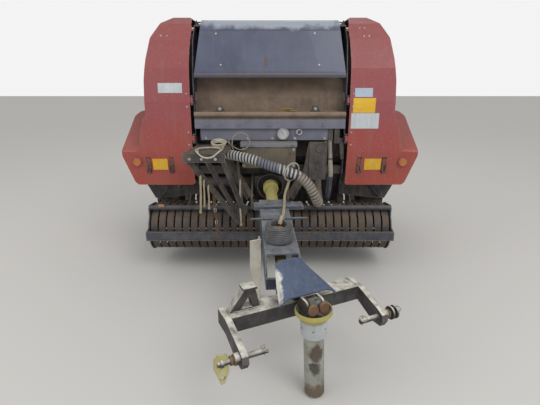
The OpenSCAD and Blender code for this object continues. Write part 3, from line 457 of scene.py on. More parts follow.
# blank reflecting plates, and blank stickers bleached by the sun
PLATE = Finish("blank_yellow_reflecting_plate", "dba71c", "e6b836", dust_level=0.2, top_dust_and_light=0.2, rough=0.4)
STICKER_YELLOW = Finish("blank_yellow_sticker", "e0ad18", "e8bc38", dust_level=0.15, rough=0.4)
STICKER_WHITE = Finish("blank_white_sticker", "ccd2d6", "bcc4cc", dust_level=0.2, rough=0.45)
STICKER_BLUE = Finish("blank_pale_blue_sticker", "a9bbcd", "b5c4d4", dust_level=0.15, rough=0.45)
# sun-bleached straw left on the tray
STRAW = Finish("dry_wheat_straw", "b59a62", "97804e", dust_level=0.2, rough=0.8, streaks=0.0)
# bare rusty iron of ears, chains and brackets
RUST = Finish("rusty_forged_iron", "6a4a36", "7d5f48", dust="8b7a62", dust_level=0.4, bare="4a352a",
    wear=0.3, rough=0.8)
# pale green-yellow paint of the flag plate
FLAG = Finish("worn_yellow_green_plate_paint", "aaa45c", "c0b98a", dust="c5bda6", dust_level=0.45,
    bare="6b5a44", wear=0.5, rough=0.6)

DRESS: dict[Finish, str] = {
    NAVY: "wall_left wall_right gate_wall_left gate_wall_right gate_skin cylinder_left cylinder_right",
    PANEL: "gauge_panel",
    FRAME: "chassis_frame body_sheets front_brackets side_guards",
    PICKUP: "pickup_frame",
    HOOD: "front_hood",
    RED: "cover_left cover_right gate_cover_left gate_cover_right",
    DUSTY: "net_tray",
    LID: "middle_box",
    STEEL: "front_rollers gate_rollers chain_drive_left chain_drive_right pickup_reel",
    GEARBOX: "main_gearbox",
    CHROME: "rod_left rod_right",
    RUBBER: "tyre_left tyre_right",
    HOSE: "hose_bundle hose_right cable_coil",
    RIM: "rim_left rim_right",
    YELLOW: "main_driveline",
    CREAM: "pto_shaft",
    BANDS: "pickup_bands",
    STAND: "parking_stand",
    DRAWBAR: "drawbar",
    HITCH: "hitch_yoke",
    SHIELD: "hitch_shield",
    AMBER: "lamp_left lamp_right",
    REAR_RED: "gate_lamps",
}


class Materials:
    """Builds each finish once."""

    made: dict[str, bpy.types.Material] = {}

    @classmethod
    def get(cls, finish: Finish) -> bpy.types.Material:
        """Returns the material of a finish, built on first use."""
        if finish.name not in cls.made:
            cls.made[finish.name] = finish.build()
        return cls.made[finish.name]


class Shape:
    """Collects the closed shells of one piece, then turns them into an object that rides on a body."""

    def __init__(self, name: str, *finishes: Finish) -> None:
        """Starts an empty piece.

        Args:
            name: the piece's name.
            finishes: its finishes; shells name one by its number.
        """
        self.name = name
        self.finishes = finishes
        self.bm = bmesh.new()

    def loft(self, rings: list[list[Vector]], slot: int = 0, closed: bool = False) -> None:
        """Skins a row of rings of equal point count.

        Args:
            rings: the rings, each a list of points.
            slot: number of the finish.
            closed: joins the last ring to the first instead of closing the ends.
        """
        rows = [[self.bm.verts.new(p) for p in ring] for ring in rings]
        count = len(rows[0])
        made = []
        for a, b in zip(rows, rows[1:] + rows[:1] if closed else rows[1:]):
            for k in range(count):
                after = (k + 1) % count
                made.append(self.bm.faces.new((a[k], a[after], b[after], b[k])))
        if not closed:
            made += [self.bm.faces.new(rows[0][::-1]), self.bm.faces.new(rows[-1])]
        for face in made:
            face.material_index = slot

    def tube(self, path: list[Vector], radius: float, sides: int = 10, slot: int = 0) -> None:
        """Sweeps a round tube along a path.

        Args:
            path: its middle line.
            radius: in metres.
            sides: corners of its round.
            slot: number of the finish.
        """
        self.loft([[p + radius * turned(u, v, a) for a in around(sides)]
                for p, (u, v, _) in zip(path, frames(path))], slot)

    def ring(self, centre: Vector, axis: Vector, radius: float, thick: float, slot: int = 0,
            sides: int = 40) -> None:
        """Adds a round wire ring.

        Args:
            centre: its middle.
            axis: direction across its plane.
            radius: of its middle line, in metres.
            thick: radius of the wire.
            slot: number of the finish.
            sides: points round it.
        """
        axis = axis.normalized()
        u = axis.orthogonal().normalized()
        rings = []
        for out in (turned(u, axis.cross(u), a) for a in around(sides)):
            rings.append([centre + out * (radius + thick * cos(a)) + axis * thick * sin(a)
                    for a in around(8)])
        self.loft(rings, slot, closed=True)

    def wound(self, path: list[Vector], radius: float, pitch: float, width: float, thick: float,
            slot: int) -> None:
        """Winds a flat strip round a path.

        Args:
            path: points close together.
            radius: of the strip's middle, in metres.
            pitch: advance of one turn.
            width: of the strip, along the path.
            thick: of the strip.
            slot: number of the finish.
        """
        steps = 14
        path = even(path, pitch / steps)
        rings = []
        for i, (p, (u, v, t)) in enumerate(zip(path, frames(path))):
            out = turned(u, v, tau * (i / steps))
            rings.append([p + t * w * width / 2 + out * (radius + h * thick / 2)
                    for w, h in ((-1, -1), (-0.6, 1), (0.6, 1), (1, -1))])
        self.loft(rings, slot)

    def rope(self, path: list[Vector], radius: float) -> None:
        """Lays three strands round each other along a path.

        Args:
            path: the rope's middle line.
            radius: of the whole rope, in metres.
        """
        path = even(path, radius * 0.9)
        cross = frames(path)
        for strand in range(3):
            self.tube([p + 0.5 * radius * turned(u, v, tau * (strand / 3 + i / 8))
                    for i, (p, (u, v, _)) in enumerate(zip(path, cross))], radius * 0.5, 6)

    def lathe(self, profile: list[Pair], start: Vector, axis: Vector, sides: int = 32,
            slot: int = 0) -> None:
        """Turns a closed outline about an axis.

        Args:
            profile: (distance along the axis, radius) in mm, all radii above zero.
            start: the axis's zero point.
            axis: its direction.
            sides: steps round.
            slot: number of the finish.
        """
        axis = axis.normalized()
        u = axis.orthogonal().normalized()
        self.loft([[start + (axis * h + turned(u, axis.cross(u), a) * r) * MM for h, r in profile]
                for a in around(sides)], slot, closed=True)

    def block(self, low: Triple, high: Triple, to: Placer = place,
            slot: int = 0, edge: float = 2.0) -> None:
        """Adds a box with chamfered edges.

        Args:
            low: lowest corner, mm.
            high: highest corner, mm.
            to: frame of the corners.
            slot: number of the finish.
            edge: size of the chamfer, mm.
        """
        (x0, y0, z0), (x1, y1, z1) = low, high
        e = min(edge, (x1 - x0) / 3, (y1 - y0) / 3, (z1 - z0) / 3)
        rings = []
        for z, inward in ((z0, e), (z0 + e, 0), (z1 - e, 0), (z1, e)):
            a0, a1, b0, b1 = x0 + inward, x1 - inward, y0 + inward, y1 - inward
            corners = ((a0 + e, b0), (a1 - e, b0), (a1, b0 + e), (a1, b1 - e), (a1 - e, b1), (a0 + e, b1),
                    (a0, b1 - e), (a0, b0 + e))
            rings.append([to(*p, z) for p in corners])
        self.loft(rings, slot)

    def done(self, body: str, slot_name: str | None = None, *nodes: str) -> Piece:
        """Makes the object, with outward faces and sharp edges kept, and lets it ride.

        Args:
            body: the CAD body it moves with.
            slot_name: not used.
            nodes: CAD nodes that it stands for.

        Returns:
            The object.
        """
        bmesh.ops.recalc_face_normals(self.bm, faces=self.bm.faces)
        for face in self.bm.faces:
            face.smooth = True
        for edge in self.bm.edges:
            edge.smooth = len(edge.link_faces) == 2 and edge.calc_face_angle(0.0) < 0.7
        mesh = bpy.data.meshes.new(self.name)
        self.bm.to_mesh(mesh)
        self.bm.free()
        for finish in self.finishes:
            mesh.materials.append(Materials.get(finish))
        return settle(linked(self.name, mesh), body, slot_name, *nodes)


def linked(name: str, data: bpy.types.ID) -> Piece:
    """Makes an object and links it to the scene.

    Args:
        name: its name.
        data: its mesh, camera or lamp.

    Returns:
        The object.
    """
    made = bpy.data.objects.new(name, data)
    bpy.context.scene.collection.objects.link(made)
    return made


def settle(piece: Piece, body: str, slot_name: str | None = None, *nodes: str) -> Piece:
    """Lets a piece ride on its body and hides the CAD nodes that it stands for.

    Args:
        piece: the finished object.
        body: the CAD body it moves with.
        slot_name: not used.
        nodes: CAD nodes that it stands for.

    Returns:
        The piece.
    """
    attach(piece, body)
    if nodes:
        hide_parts(*nodes)
    LOG.info("%s: %d faces on %s", piece.name, len(piece.data.polygons), body)
    return piece


class Head(Enum):
    """Kinds of fastener head, with the head's sides and whether a washer lies under it."""

    HEX = (6, True)
    RIVET = (14, False)
    LINK = (10, True)


class Fasteners:
    """Rows of equal fasteners, set on spots by one Geometry Nodes tree."""

    def __init__(self, name: str, head: Head, radius: float, height: float, finish: Finish) -> None:
        """Starts a row.

        Args:
            name: the piece's name.
            head: its kind.
            radius: of the head, mm.
            height: of the head, mm.
            finish: its surface.
        """
        self.name, self.head, self.finish = name, head, finish
        self.radius, self.height = radius * MM, height * MM
        self.spots: list[tuple[Vector, Vector]] = []

    def add(self, facing: Vector, *points: Vector) -> None:
        """Sets a fastener at each point, its head facing the given way."""
        self.spots += [(at, facing.normalized()) for at in points]

    def tree(self) -> bpy.types.GeometryNodeTree:
        """Builds the node tree: head and washer on each spot, turned along its facing attribute.

        Returns:
            The tree, with named inputs for the sizes and the finish.
        """
        tree = bpy.data.node_groups.new(self.name, "GeometryNodeTree")
        for label, kind in (("Geometry", "Geometry"), ("Head radius", "Float"), ("Head height", "Float"),
                ("Finish", "Material")):
            tree.interface.new_socket(label, in_out="INPUT", socket_type="NodeSocket" + kind)
        tree.interface.new_socket("Geometry", in_out="OUTPUT", socket_type="NodeSocketGeometry")
        make = partial(add_node, tree)
        given = make("NodeGroupInput").outputs
        sides, washer = self.head.value

        def times(socket: Socket, factor: float) -> Socket:
            """Returns the socket's value times a factor."""
            return make("ShaderNodeMath", {0: socket, 1: factor}, operation="MULTIPLY").outputs[0]

        def disc(count: int, low: float, high: float, radius: float, top: float) -> Socket:
            """Makes a cone frustum.

            Args:
                count: sides of its round.
                low: height of its foot, in head heights.
                high: height of its top.
                radius: of its foot, in head radii.
                top: radius of its top.

            Returns:
                Its geometry.
            """
            cone = make("GeometryNodeMeshCone", {
                "Vertices": count, "Radius Bottom": times(given["Head radius"], radius),
                "Radius Top": times(given["Head radius"], top),
                "Depth": times(given["Head height"], high - low)}).outputs[0]
            lift = make("ShaderNodeCombineXYZ", {"Z": times(given["Head height"], low)}).outputs[0]
            return make("GeometryNodeTransform", {0: cone, "Translation": lift}).outputs[0]

        join = make("GeometryNodeJoinGeometry")
        rows = ((20, -0.1, 0.2, 1.5, 1.45),) if washer else ()
        for row in (*rows, (sides, 0.15, 0.85, 1.0, 1.0), (sides, 0.8, 1.0, 0.97, 0.75)):
            tree.links.new(disc(*row), join.inputs[0])
        facing = make("GeometryNodeInputNamedAttribute", {"Name": "facing"}, data_type="FLOAT_VECTOR")
        turn = make("FunctionNodeAlignRotationToVector", {"Vector": facing.outputs[0]}, axis="Z")
        points = make("GeometryNodeMeshToPoints", {"Mesh": given["Geometry"]}).outputs[0]
        rows = make("GeometryNodeInstanceOnPoints", {
            "Points": points, "Instance": join.outputs[0], "Rotation": turn.outputs[0]}).outputs[0]
        real = make("GeometryNodeRealizeInstances", {0: rows}).outputs[0]
        coated = make("GeometryNodeSetMaterial", {"Geometry": real, "Material": given["Finish"]})
        make("NodeGroupOutput", {0: coated.outputs[0]})
        return tree

    def done(self, body: str, slot_name: str | None = None) -> Piece:
        """Evaluates the tree and keeps its result as one plain mesh.

        Args:
            body: the CAD body it moves with.
            slot_name: not used.

        Returns:
            The object.
        """
        mesh = bpy.data.meshes.new(self.name + "_spots")
        mesh.from_pydata([at for at, _ in self.spots], [], [])
        attribute = mesh.attributes.new("facing", "FLOAT_VECTOR", "POINT")
        attribute.data.foreach_set("vector", [c for _, way in self.spots for c in way])
        seed = linked(self.name + "_spots", mesh)
        modifier = seed.modifiers.new("rows", "NODES")
        modifier.node_group = self.tree()
        sizes = {"Head radius": self.radius, "Head height": self.height,
                "Finish": Materials.get(self.finish)}
        for socket in modifier.node_group.interface.items_tree:
            if socket.in_out == "INPUT" and socket.name in sizes:
                modifier[socket.identifier] = sizes[socket.name]
        bpy.context.view_layer.update()
        ready = seed.evaluated_get(bpy.context.evaluated_depsgraph_get())
        result = bpy.data.meshes.new_from_object(ready)
        result.name = self.name
        for extra in [a.name for a in result.attributes if a.name == "facing"]:
            result.attributes.remove(result.attributes[extra])
        bpy.data.objects.remove(seed)
        return settle(linked(self.name, result), body, slot_name)


@dataclass(frozen=True)
class HoseBundle:
    """Thick bundle of hoses with a spiral strip wound round it, white on top and brown further down."""

    radius: float = 40.0
    points: tuple[Triple, ...] = (
        (-434, -965, 996), (-385, -965, 996), (-318, -1050, 1000), (-155, -1120, 978), (-18, -1150, 937),
        (115, -1170, 898), (220, -1180, 857), (293, -1190, 796), (348, -1190, 700), (380, -1130, 632),
        (398, -1006, 604), (400, -888, 650), (400, -827, 745), (400, -827, 800))
    # share of the path where a strip starts and ends, pitch, width, finish
    strips: tuple[tuple[float, float, float, float, int], ...] = (
        (0.05, 0.12, 20, 15, 3), (0.12, 0.27, 25, 14, 1), (0.27, 0.36, 24, 19, 3), (0.36, 0.46, 31, 16, 1),
        (0.46, 0.93, 24, 22, 2))

    def build(self) -> None:
        path = smooth([place(*p) for p in self.points], 8)
        shape = Shape("hose_bundle_wrapped", HOSE, SPIRAL, WRAP, FILM)
        shape.tube(path, (self.radius - 5) * MM, 24)
        last = len(path) - 1
        for start, end, pitch, width, slot in self.strips:
            part = path[round(start * last):round(end * last) + 1]
            shape.wound(part, (self.radius - 3) * MM, pitch * MM, width * MM, 5 * MM, slot)
        piece = shape.done("chassis", None, "hose_bundle")


@dataclass(frozen=True)
class RightHose:
    """Single hose beside the bolted plate, dusty above and dark blue below, held by two tie bands."""

    radius: float = 19.0
    points: tuple[Triple, ...] = (
        (486, -922, 1095), (486, -922, 1055), (486, -990, 940), (490, -1020, 830), (482, -1024, 700),
        (478, -985, 622), (482, -900, 590), (490, -825, 650), (495, -818, 750), (495, -818, 800))

    def build(self) -> None:
        path = smooth([place(*p) for p in self.points], 8)
        shape = Shape("hose_right_tied", HOSE, WRAP, ZINC)
        middle = round(len(path) * 0.36)
        shape.tube(path, (self.radius - 2) * MM, 20)
        shape.tube(path[:middle], (self.radius - 1) * MM, 20, 1)
        for i in (round(len(path) * 0.2), middle, round(len(path) * 0.6)):
            shape.tube(path[i:i + 2], self.radius * MM, 20)
        piece = shape.done("chassis", None, "hose_right")


@dataclass(frozen=True)
class CableCoil:
    """Control cable wound into a neat coil on the drawbar; its plug lies in the middle."""

    wire: float = 12.0
    inner: float = 54.0
    columns: int = 3
    layers: int = 9
    steps: int = 28
    # middle of the coil's foot on the drawbar's top plate, and how much that leans
    seat: Triple = (-8.0, -868.0, 650.5)
    lean: float = 7.04

    def at(self, x: float, y: float, z: float) -> Vector:
        """Returns a point given from the coil's middle on the drawbar's leaning top plate, in mm."""
        (x0, y0, z0), a = self.seat, radians(self.lean)
        return on_drawbar(x0 + x, y0 + y * cos(a) - z * sin(a), z0 + y * sin(a) + z * cos(a))

    def build(self) -> None:
        turns = self.columns * self.layers - 1
        low, high = self.wire / 2, self.wire * (self.layers - 0.5)
        # half a turn leads in from the plug, then the columns follow from the inside out
        line = []
        for i in range(-self.steps // 2, 0):
            radius, angle = self.inner - 32 * (i / self.steps) ** 2, tau * i / self.steps
            line.append(self.at(radius * cos(angle), radius * sin(angle), low))
        for i in range(turns * self.steps + 1):
            turn = i / self.steps
            column = min(self.columns - 1, int(turn / self.layers))
            inside = turn - column * self.layers
            share = min(1.0, inside / (self.layers - 1))
            rise = share if column % 2 == 0 else 1 - share
            outward = max(0.0, inside - (self.layers - 1)) if column < self.columns - 1 else 0.0
            radius = self.inner + self.wire * (column + outward) * 1.01
            angle = tau * turn
            line.append(self.at(radius * cos(angle), radius * sin(angle), low + rise * (high - low)))
        line.reverse()
        shape = Shape("cable_coil_wound", COIL)
        shape.tube(line, self.wire / 2 * MM, 8)
        coil = shape.done("drawbar", None, "cable_coil")
        block = Shape("coil_end_block", RUST, STRAW)
        block.block((-42, -22, 1), (24, 16, 86), self.at, 0, 5)
        block.block((-36, -18, 60), (34, 20, 74), self.at, 1, 3)
        plug = block.done("drawbar")


@dataclass(frozen=True)
class Rope:
    """A twisted rope, tied or lying where the photograph shows it."""

    name: str
    body: str
    radius: float
    points: tuple[Triple, ...]
    lay: str = "hanging"

    def build(self) -> None:
        path = smooth([place(*p) for p in self.points], 6)
        shape = Shape(self.name, ROPE)
        shape.rope(path, self.radius * MM)
        piece = shape.done(self.body)
        knot = Shape(self.name + "_knot", ROPE)
        end, way, r = path[-1], (path[-1] - path[-2]).normalized(), self.radius
        knot.ring(end, way, r * 0.8 * MM, r * 0.62 * MM, 0, 18)
        knot.ring(end + way * r * 0.9 * MM, way, r * 0.62 * MM, r * 0.55 * MM, 0, 18)
        tied = knot.done(self.body)


@dataclass(frozen=True)
class ShelfCable:
    """Pale cable lying in loops on the shelf, and a stiff loop standing against the box's lid."""

    wire: float = 5.0
    edge: float = -1286.0
    bend_z: float = 1034.0

    def draped(self, x: float, y: float, z: float) -> Vector:
        """Bends a point that lies past the shelf's front edge down over it.

        Args:
            x: in mm.
            y: in mm, as if the shelf went on.
            z: height of the cable's middle on the shelf.

        Returns:
            The point in metres.
        """
        past, turn_r = max(0.0, self.edge - y), z - self.bend_z
        if not past:
            return place(x, y, z)
        a = min(past / turn_r, pi / 2)
        drop = max(0.0, past - turn_r * pi / 2)
        return place(x, self.edge - turn_r * sin(a), self.bend_z + turn_r * cos(a) - drop)

    def build(self) -> None:
        line = [place(-552, -1100, 1055), place(-545, -1165, 1057)]
        for turn in (i / 50 for i in range(5, 76)):
            a, grow = tau * (0.5 + turn), 1 + 0.1 * turn
            line.append(self.draped(-452 + 88 * grow * cos(a), -1238 + 104 * grow * sin(a),
                    1060 + 10.5 * turn))
        for turn in (i / 20 for i in range(2, 61)):
            a, grow = tau * turn, 1 + 0.1 * turn
            line.append(place(-396 + 46 * grow * cos(a), -1085 + 46 * grow * sin(a),
                    1062 + 10.5 * turn + 16 * (1 + sin(a))))
        line += [place(-330, -1030, 1092), place(-322, -975, 1068), place(-318, -930, 1057)]
        path = smooth(even(line, 20 * MM), 3)
        shape = Shape("shelf_cable", CABLE)
        shape.tube(path, self.wire * MM, 8)
        piece = shape.done("chassis")
        tie = Shape("shelf_cable_end", HOSE, ZINC)
        tie.lathe([(0, 8), (2, 11), (26, 11), (30, 8)], path[-1], path[-1] - path[-2], 20)
        tie.lathe([(30, 7), (31, 8), (40, 8), (41, 7)], path[-1], path[-1] - path[-2], 20, 1)
        end = tie.done("chassis")


@dataclass(frozen=True)
class Sided:
    """Something made on both sides of the baler: side is -1 on the left and 1 on the right."""

    side: int

    @property
    def tag(self) -> str:
        """Returns the side's name."""
        return "right" if self.side > 0 else "left"


@dataclass(frozen=True)
class CoverDress(Sided):
    """What sits on one side cover: blank stickers, reflecting plate in its brackets, rivets, lamp rim."""

    stickers: tuple[tuple[str, Finish, float, float, float, float], ...]
    plate: Pair
    brackets: tuple[Pair, ...]
    rivets: tuple[Pair, ...]
    plate_z: Pair = (850, 944)
    bracket_z: Pair = (826, 960)
    bar: float = 9.0
    flange_x: float = 652.0
    lamp: Triple = (1085, -934, 920)
    lamp_lean: float = 8.0

    @property
    def body(self) -> str:
        """Returns the cover's body."""
        return f"cover_{self.tag}"

    def sheet(self, shape: Shape, box: tuple[float, ...], proud: float) -> None:
        """Lays a thin sheet on the cover's curved face.

        Args:
            shape: the piece it belongs to.
            box: x0, x1, z0, z1 in mm.
            proud: how far its face stands before the cover, mm.
        """
        x0, x1, z0, z1 = box
        rings = []
        for i in range(7):
            z = z0 + (z1 - z0) * i / 6
            y = cover_face(z)
            rings.append([place(x0, y - 0.2, z), place(x1, y - 0.2, z), place(x1 - 1, y - proud, z),
                    place(x0 + 1, y - proud, z)])
        shape.loft(rings)

    def build(self) -> None:
        """Makes the pieces of this cover."""
        for name, finish, *box in self.stickers:
            shape = Shape(f"{name}_{self.tag}", finish)
            self.sheet(shape, tuple(box), 1.4)
            shape.done(self.body)
        shape = Shape(f"reflecting_plate_{self.tag}", PLATE, FRAME)
        self.sheet(shape, (*self.plate, *self.plate_z), 5)
        low, high = self.bracket_z
        for x0, x1 in self.brackets:
            middle = (cover_face(low + 4) + cover_face(high - 4)) / 2
            for a, b, c, d in ((x0, x0 + self.bar, low, high), (x1 - self.bar, x1, low, high),
                    (x0, x1, low, low + 16), (x0, x1, high - 16, high),
                    (x0, x1, low + 60, low + 72)):
                shape.block((a, middle - 11, c), (b, middle + 9, d), place, 1, 2)
        shape.done(self.body)
        rivets = Fasteners(f"cover_rivets_{self.tag}", Head.RIVET, 7, 5, ZINC)
        column = tuple((self.side * self.flange_x, z) for z in (1060, 1160, 1360, 1460))
        rivets.add(FRONT, *(place(x, cover_face(z), z) for x, z in self.rivets + column))
        rivets.done(self.body)
        rim = Shape(f"lamp_rim_{self.tag}", RED, AMBER)
        lean = turned(FRONT, -UP, radians(self.lamp_lean))
        x, y, z = self.lamp
        seat = place(self.side * x, y, z)
        rim.lathe([(0, 31), (0, 37), (16, 37), (22, 34), (22, 31)], seat, lean, 40)
        for radius in (8, 15, 22):
            rib = [(25, radius), (27.5, radius + 1.5), (27.5, radius + 3), (25, radius + 4.5)]
            rim.lathe(rib, seat, lean, 40, 1)
        rim.done(self.body)


@dataclass(frozen=True)
class HoodDress:
    """Screws and seam of the front hood."""

    screws: tuple[Pair, ...] = ((-417, 1901), (344, 1904), (379, 1672), (-380, 1672))

    def build(self) -> None:
        """Makes the hood's screws and its folded seam."""
        screws = Fasteners("hood_screws", Head.RIVET, 9, 6, ZINC)
        screws.add(Vector((0, -0.96, 0.28)), *(place(x, hood_face(z), z) for x, z in self.screws))
        screws.done("hood")
        seam = Shape("hood_seam", HOOD)
        bead = ((-3, -5), (2.5, -4), (4, 0), (2.5, 4), (-3, 5))
        for z, half in ((1622, 566), (1932, 536)):
            seam.loft([[place(x, hood_face(z) - d, z + h) for d, h in bead]
                    for x in range(-half, half + 1, 67)])
        seam.done("hood")


@dataclass(frozen=True)
class TrayDress:
    """Chaff, straw and screws in the net tray and on its rails."""

    straws: int = 90

    def build(self) -> None:
        """Scatters the straw and sets the screws."""
        draw = random.Random(7)
        straw = Shape("tray_straw", STRAW)
        for i in range(self.straws):
            wide = i % 3 == 0
            x, y = draw.uniform(-540, 540) if wide else draw.gauss(130, 38), draw.uniform(-905, -800)
            turn, long = draw.uniform(0, tau), draw.uniform(16, 46)
            z = 1319.5 if wide else 1320 + draw.uniform(0, 20)
            dx, dy = long * cos(turn), long * 0.6 * sin(turn)
            a = place(x - dx, max(-912, y - dy), z)
            b = place(x, y, z + draw.uniform(1, 5))
            c = place(x + dx, min(-790, y + dy), z + draw.uniform(-0.5, 4))
            straw.tube(smooth([a, b, c], 3), draw.uniform(1.1, 2.2) * MM, 5)
        straw.done("chassis")
        screws = Fasteners("tray_screws", Head.HEX, 9, 7, ZINC)
        screws.add(Vector((0, -0.93, 0.37)), *(place(x, -658, 1700) for x in (-560, -300, 0, 300, 560)))
        screws.add(FRONT, *(place(x, -918, 1342) for x in (-400, 360)))
        screws.done("chassis")


@dataclass(frozen=True)
class PanelDress:
    """Bright bolt heads, pressure gauge face, white ring and bracket bolts of the front panel."""

    gauge: Pair = (105, 1150)
    face_y: float = -958.0
    bar_bolts: tuple[float, ...] = (-495, -250, 0, 240, 430)
    panel_screws: tuple[float, ...] = (-520, -180, 20, 200, 440)

    def build(self) -> None:
        """Makes the panel's pieces."""
        bolts = Fasteners("panel_bolts", Head.RIVET, 12, 9, ZINC)
        bolts.add(FRONT, *(place(x, -949.5, 1222) for x in self.bar_bolts))
        bolts.add(FRONT, *(place(392, -1000, z) for z in (890, 1035)))
        bolts.done("chassis")
        small = Fasteners("panel_screws", Head.HEX, 8, 6, ZINC)
        small.add(FRONT, *(place(x, -925, 1108) for x in self.panel_screws))
        small.add(FRONT, *(place(x, -1300, 1012) for x in (-590, -500, -400)))
        small.add(FRONT, *(place(x, -1000, z) for x in (-210, 190) for z in (900, 1030)))
        small.done("chassis")
        x, z = self.gauge
        seat = place(x, self.face_y, z)
        face = Shape("pressure_gauge_face", WHITE, ZINC, HOSE)
        face.lathe([(0, 1), (0, 41), (1.2, 41), (1.2, 1)], seat, FRONT, 48, 0)
        face.lathe([(-2, 47), (0, 47.5), (6, 46), (6, 42), (0, 41)], seat, FRONT, 48, 1)
        for i in range(25):
            a = radians(225 - i * 11.25)
            # scale marks, every fourth one longer
            radii = (31 if i % 4 == 0 else 34, 38)
            mark = [place(x + r * cos(a), self.face_y - 1.6, z + r * sin(a)) for r in radii]
            face.tube(mark, 0.6 * MM, 6, 2)
        hand = [place(x + 9, self.face_y - 3, z - 10), place(x - 20, self.face_y - 3, z + 24)]
        face.tube(hand, 1.1 * MM, 6, 2)
        face.lathe([(1, 0.5), (1, 4), (4, 3.5), (4, 0.5)], seat, FRONT, 20, 1)
        face.done("chassis")
        ring = Shape("panel_ring", WHITE, RUST)
        at = place(235, -938, 1160)
        ring.lathe([(-12, 24.3), (0.5, 24.3), (2, 22), (2, 17), (0, 15.3), (-8, 14.6)], at, FRONT, 36)
        ring.tube([at + Vector((-0.019, -0.002, -0.019)), at + Vector((0.02, -0.004, 0.02))],
                2.4 * MM, 8, 1)
        ring.done("chassis")


@dataclass(frozen=True)
class HoseRing:
    """Steel ring that holds the hose bundle, hung from the box by a bent rod."""

    centre: Triple = (167, -1178, 889)
    radius: float = 72.0

    def build(self) -> None:
        """Makes the ring and its rod."""
        shape = Shape("hose_ring", ZINC, RUST)
        axis = Vector((0.62, -0.75, -0.2)).normalized()
        middle = place(*self.centre)
        shape.ring(middle, axis, self.radius * MM, 6 * MM, 0, 48)
        top = middle + (UP - axis * UP.dot(axis)).normalized() * self.radius * MM
        bend = [top, top + Vector((0, 0.04, 0.028)), place(168, -1050, 1002), place(168, -1002, 1002)]
        shape.tube(smooth(bend, 5), 4.5 * MM, 10, 1)
        shape.done("chassis")


@dataclass(frozen=True)
class CableRing:
    """Thin stiff cable from the panel, with one standing loop against the box's lid, into the box."""

    centre: Triple = (-229, -1022, 1100)
    radius: float = 68.0
    wire: float = 5.0

    def build(self) -> None:
        x, y, z = self.centre
        line = [place(-330, -925, 1105), place(-328, -965, 1090), place(-310, -1000, 1066)]
        for i in range(23):
            a = radians(-125 + i * 14)
            line.append(place(x + self.radius * cos(a), y - i * 0.5, z + self.radius * sin(a)))
        line += [place(-298, -1030, 1065), place(-291, -1019, 1030), place(-270, -1009, 990),
                place(-244, -1003, 962), place(-222, -1001, 946)]
        path = smooth(line, 3)
        shape = Shape("cable_ring", WRAP)
        shape.tube(path, self.wire * MM, 8)
        piece = shape.done("chassis")


@dataclass(frozen=True)
class HangingChain:
    """Safety chain hanging in front of the pickup from the outer strut, with a hook at its end."""

    top: Triple = (-436, -1196, 736)
    links: int = 15
    pitch: float = 25.0
    link_r: float = 9.0
    link_half: float = 8.0
    wire: float = 3.4
    drift: float = 1.3

    def build(self) -> None:
        """Makes the links, each turned a quarter against the last, and the hook."""
        shape = Shape("safety_chain", RUST, ZINC)
        x, y, z = self.top
        shape.ring(place(x, y, z + 2), Vector((1, 0.2, 0)), 15 * MM, 4 * MM)
        for i in range(self.links):
            middle = place(x + self.drift * i, y - 4, z - 24 - i * self.pitch)
            flat = Vector((0.8, 0.6, 0)) if i % 2 else Vector((-0.6, 0.8, 0))
            loop = []
            for a in around(14):
                high = self.link_r * sin(a) + copysign(self.link_half, sin(a))
                loop.append(middle + (flat * self.link_r * cos(a) + UP * high) * MM)
            rings = []
            for before, at, after in zip(loop[-1:] + loop, loop, loop[1:] + loop[:1]):
                side = flat.cross(UP).normalized()
                across = side.cross((after - before).normalized())
                rings.append([at + self.wire * MM * turned(side, across, b) for b in around(6)])
            # two links are newer than the rest and still bright
            shape.loft(rings, 1 if i in (5, 9) else 0, closed=True)
        x, z = x + self.drift * self.links, z - 20 - self.links * self.pitch
        bend = ((0, 16), (0, 0), (10, -16), (24, -8), (24, 8))
        hook = [place(x + p, y - 4, z + q) for p, q in bend]
        shape.tube(smooth(hook, 5), 4.5 * MM, 8)
        shape.done("chassis")


@dataclass(frozen=True)
class SideRods:
    """Thin curved rods and stays under the side covers' inner corners."""

    wire: float = 5.5
    points: tuple[Triple, ...] = (
        (860, -772, 700), (872, -790, 690), (905, -800, 640), (940, -798, 598), (948, -772, 575))

    def build(self) -> None:
        """Makes both rods, each from the guard plate to the pickup's height."""
        for side, tag in ((-1, "left"), (1, "right")):
            shape = Shape(f"guard_rod_{tag}", FRAME)
            shape.tube(smooth([place(side * x, y, z) for x, y, z in self.points], 6), self.wire * MM, 10)
            shape.block((side * 866 - 14, -778, 690), (side * 866 + 14, -770, 709), place, 0, 2)
            shape.done("chassis")


# a step of 1 mm to the right and ahead in the yoke's frame
YOKE_RIGHT, YOKE_AHEAD = on_yoke(1, 0, 0) - on_yoke(0, 0, 0), on_yoke(0, -1, 0) - on_yoke(0, 0, 0)


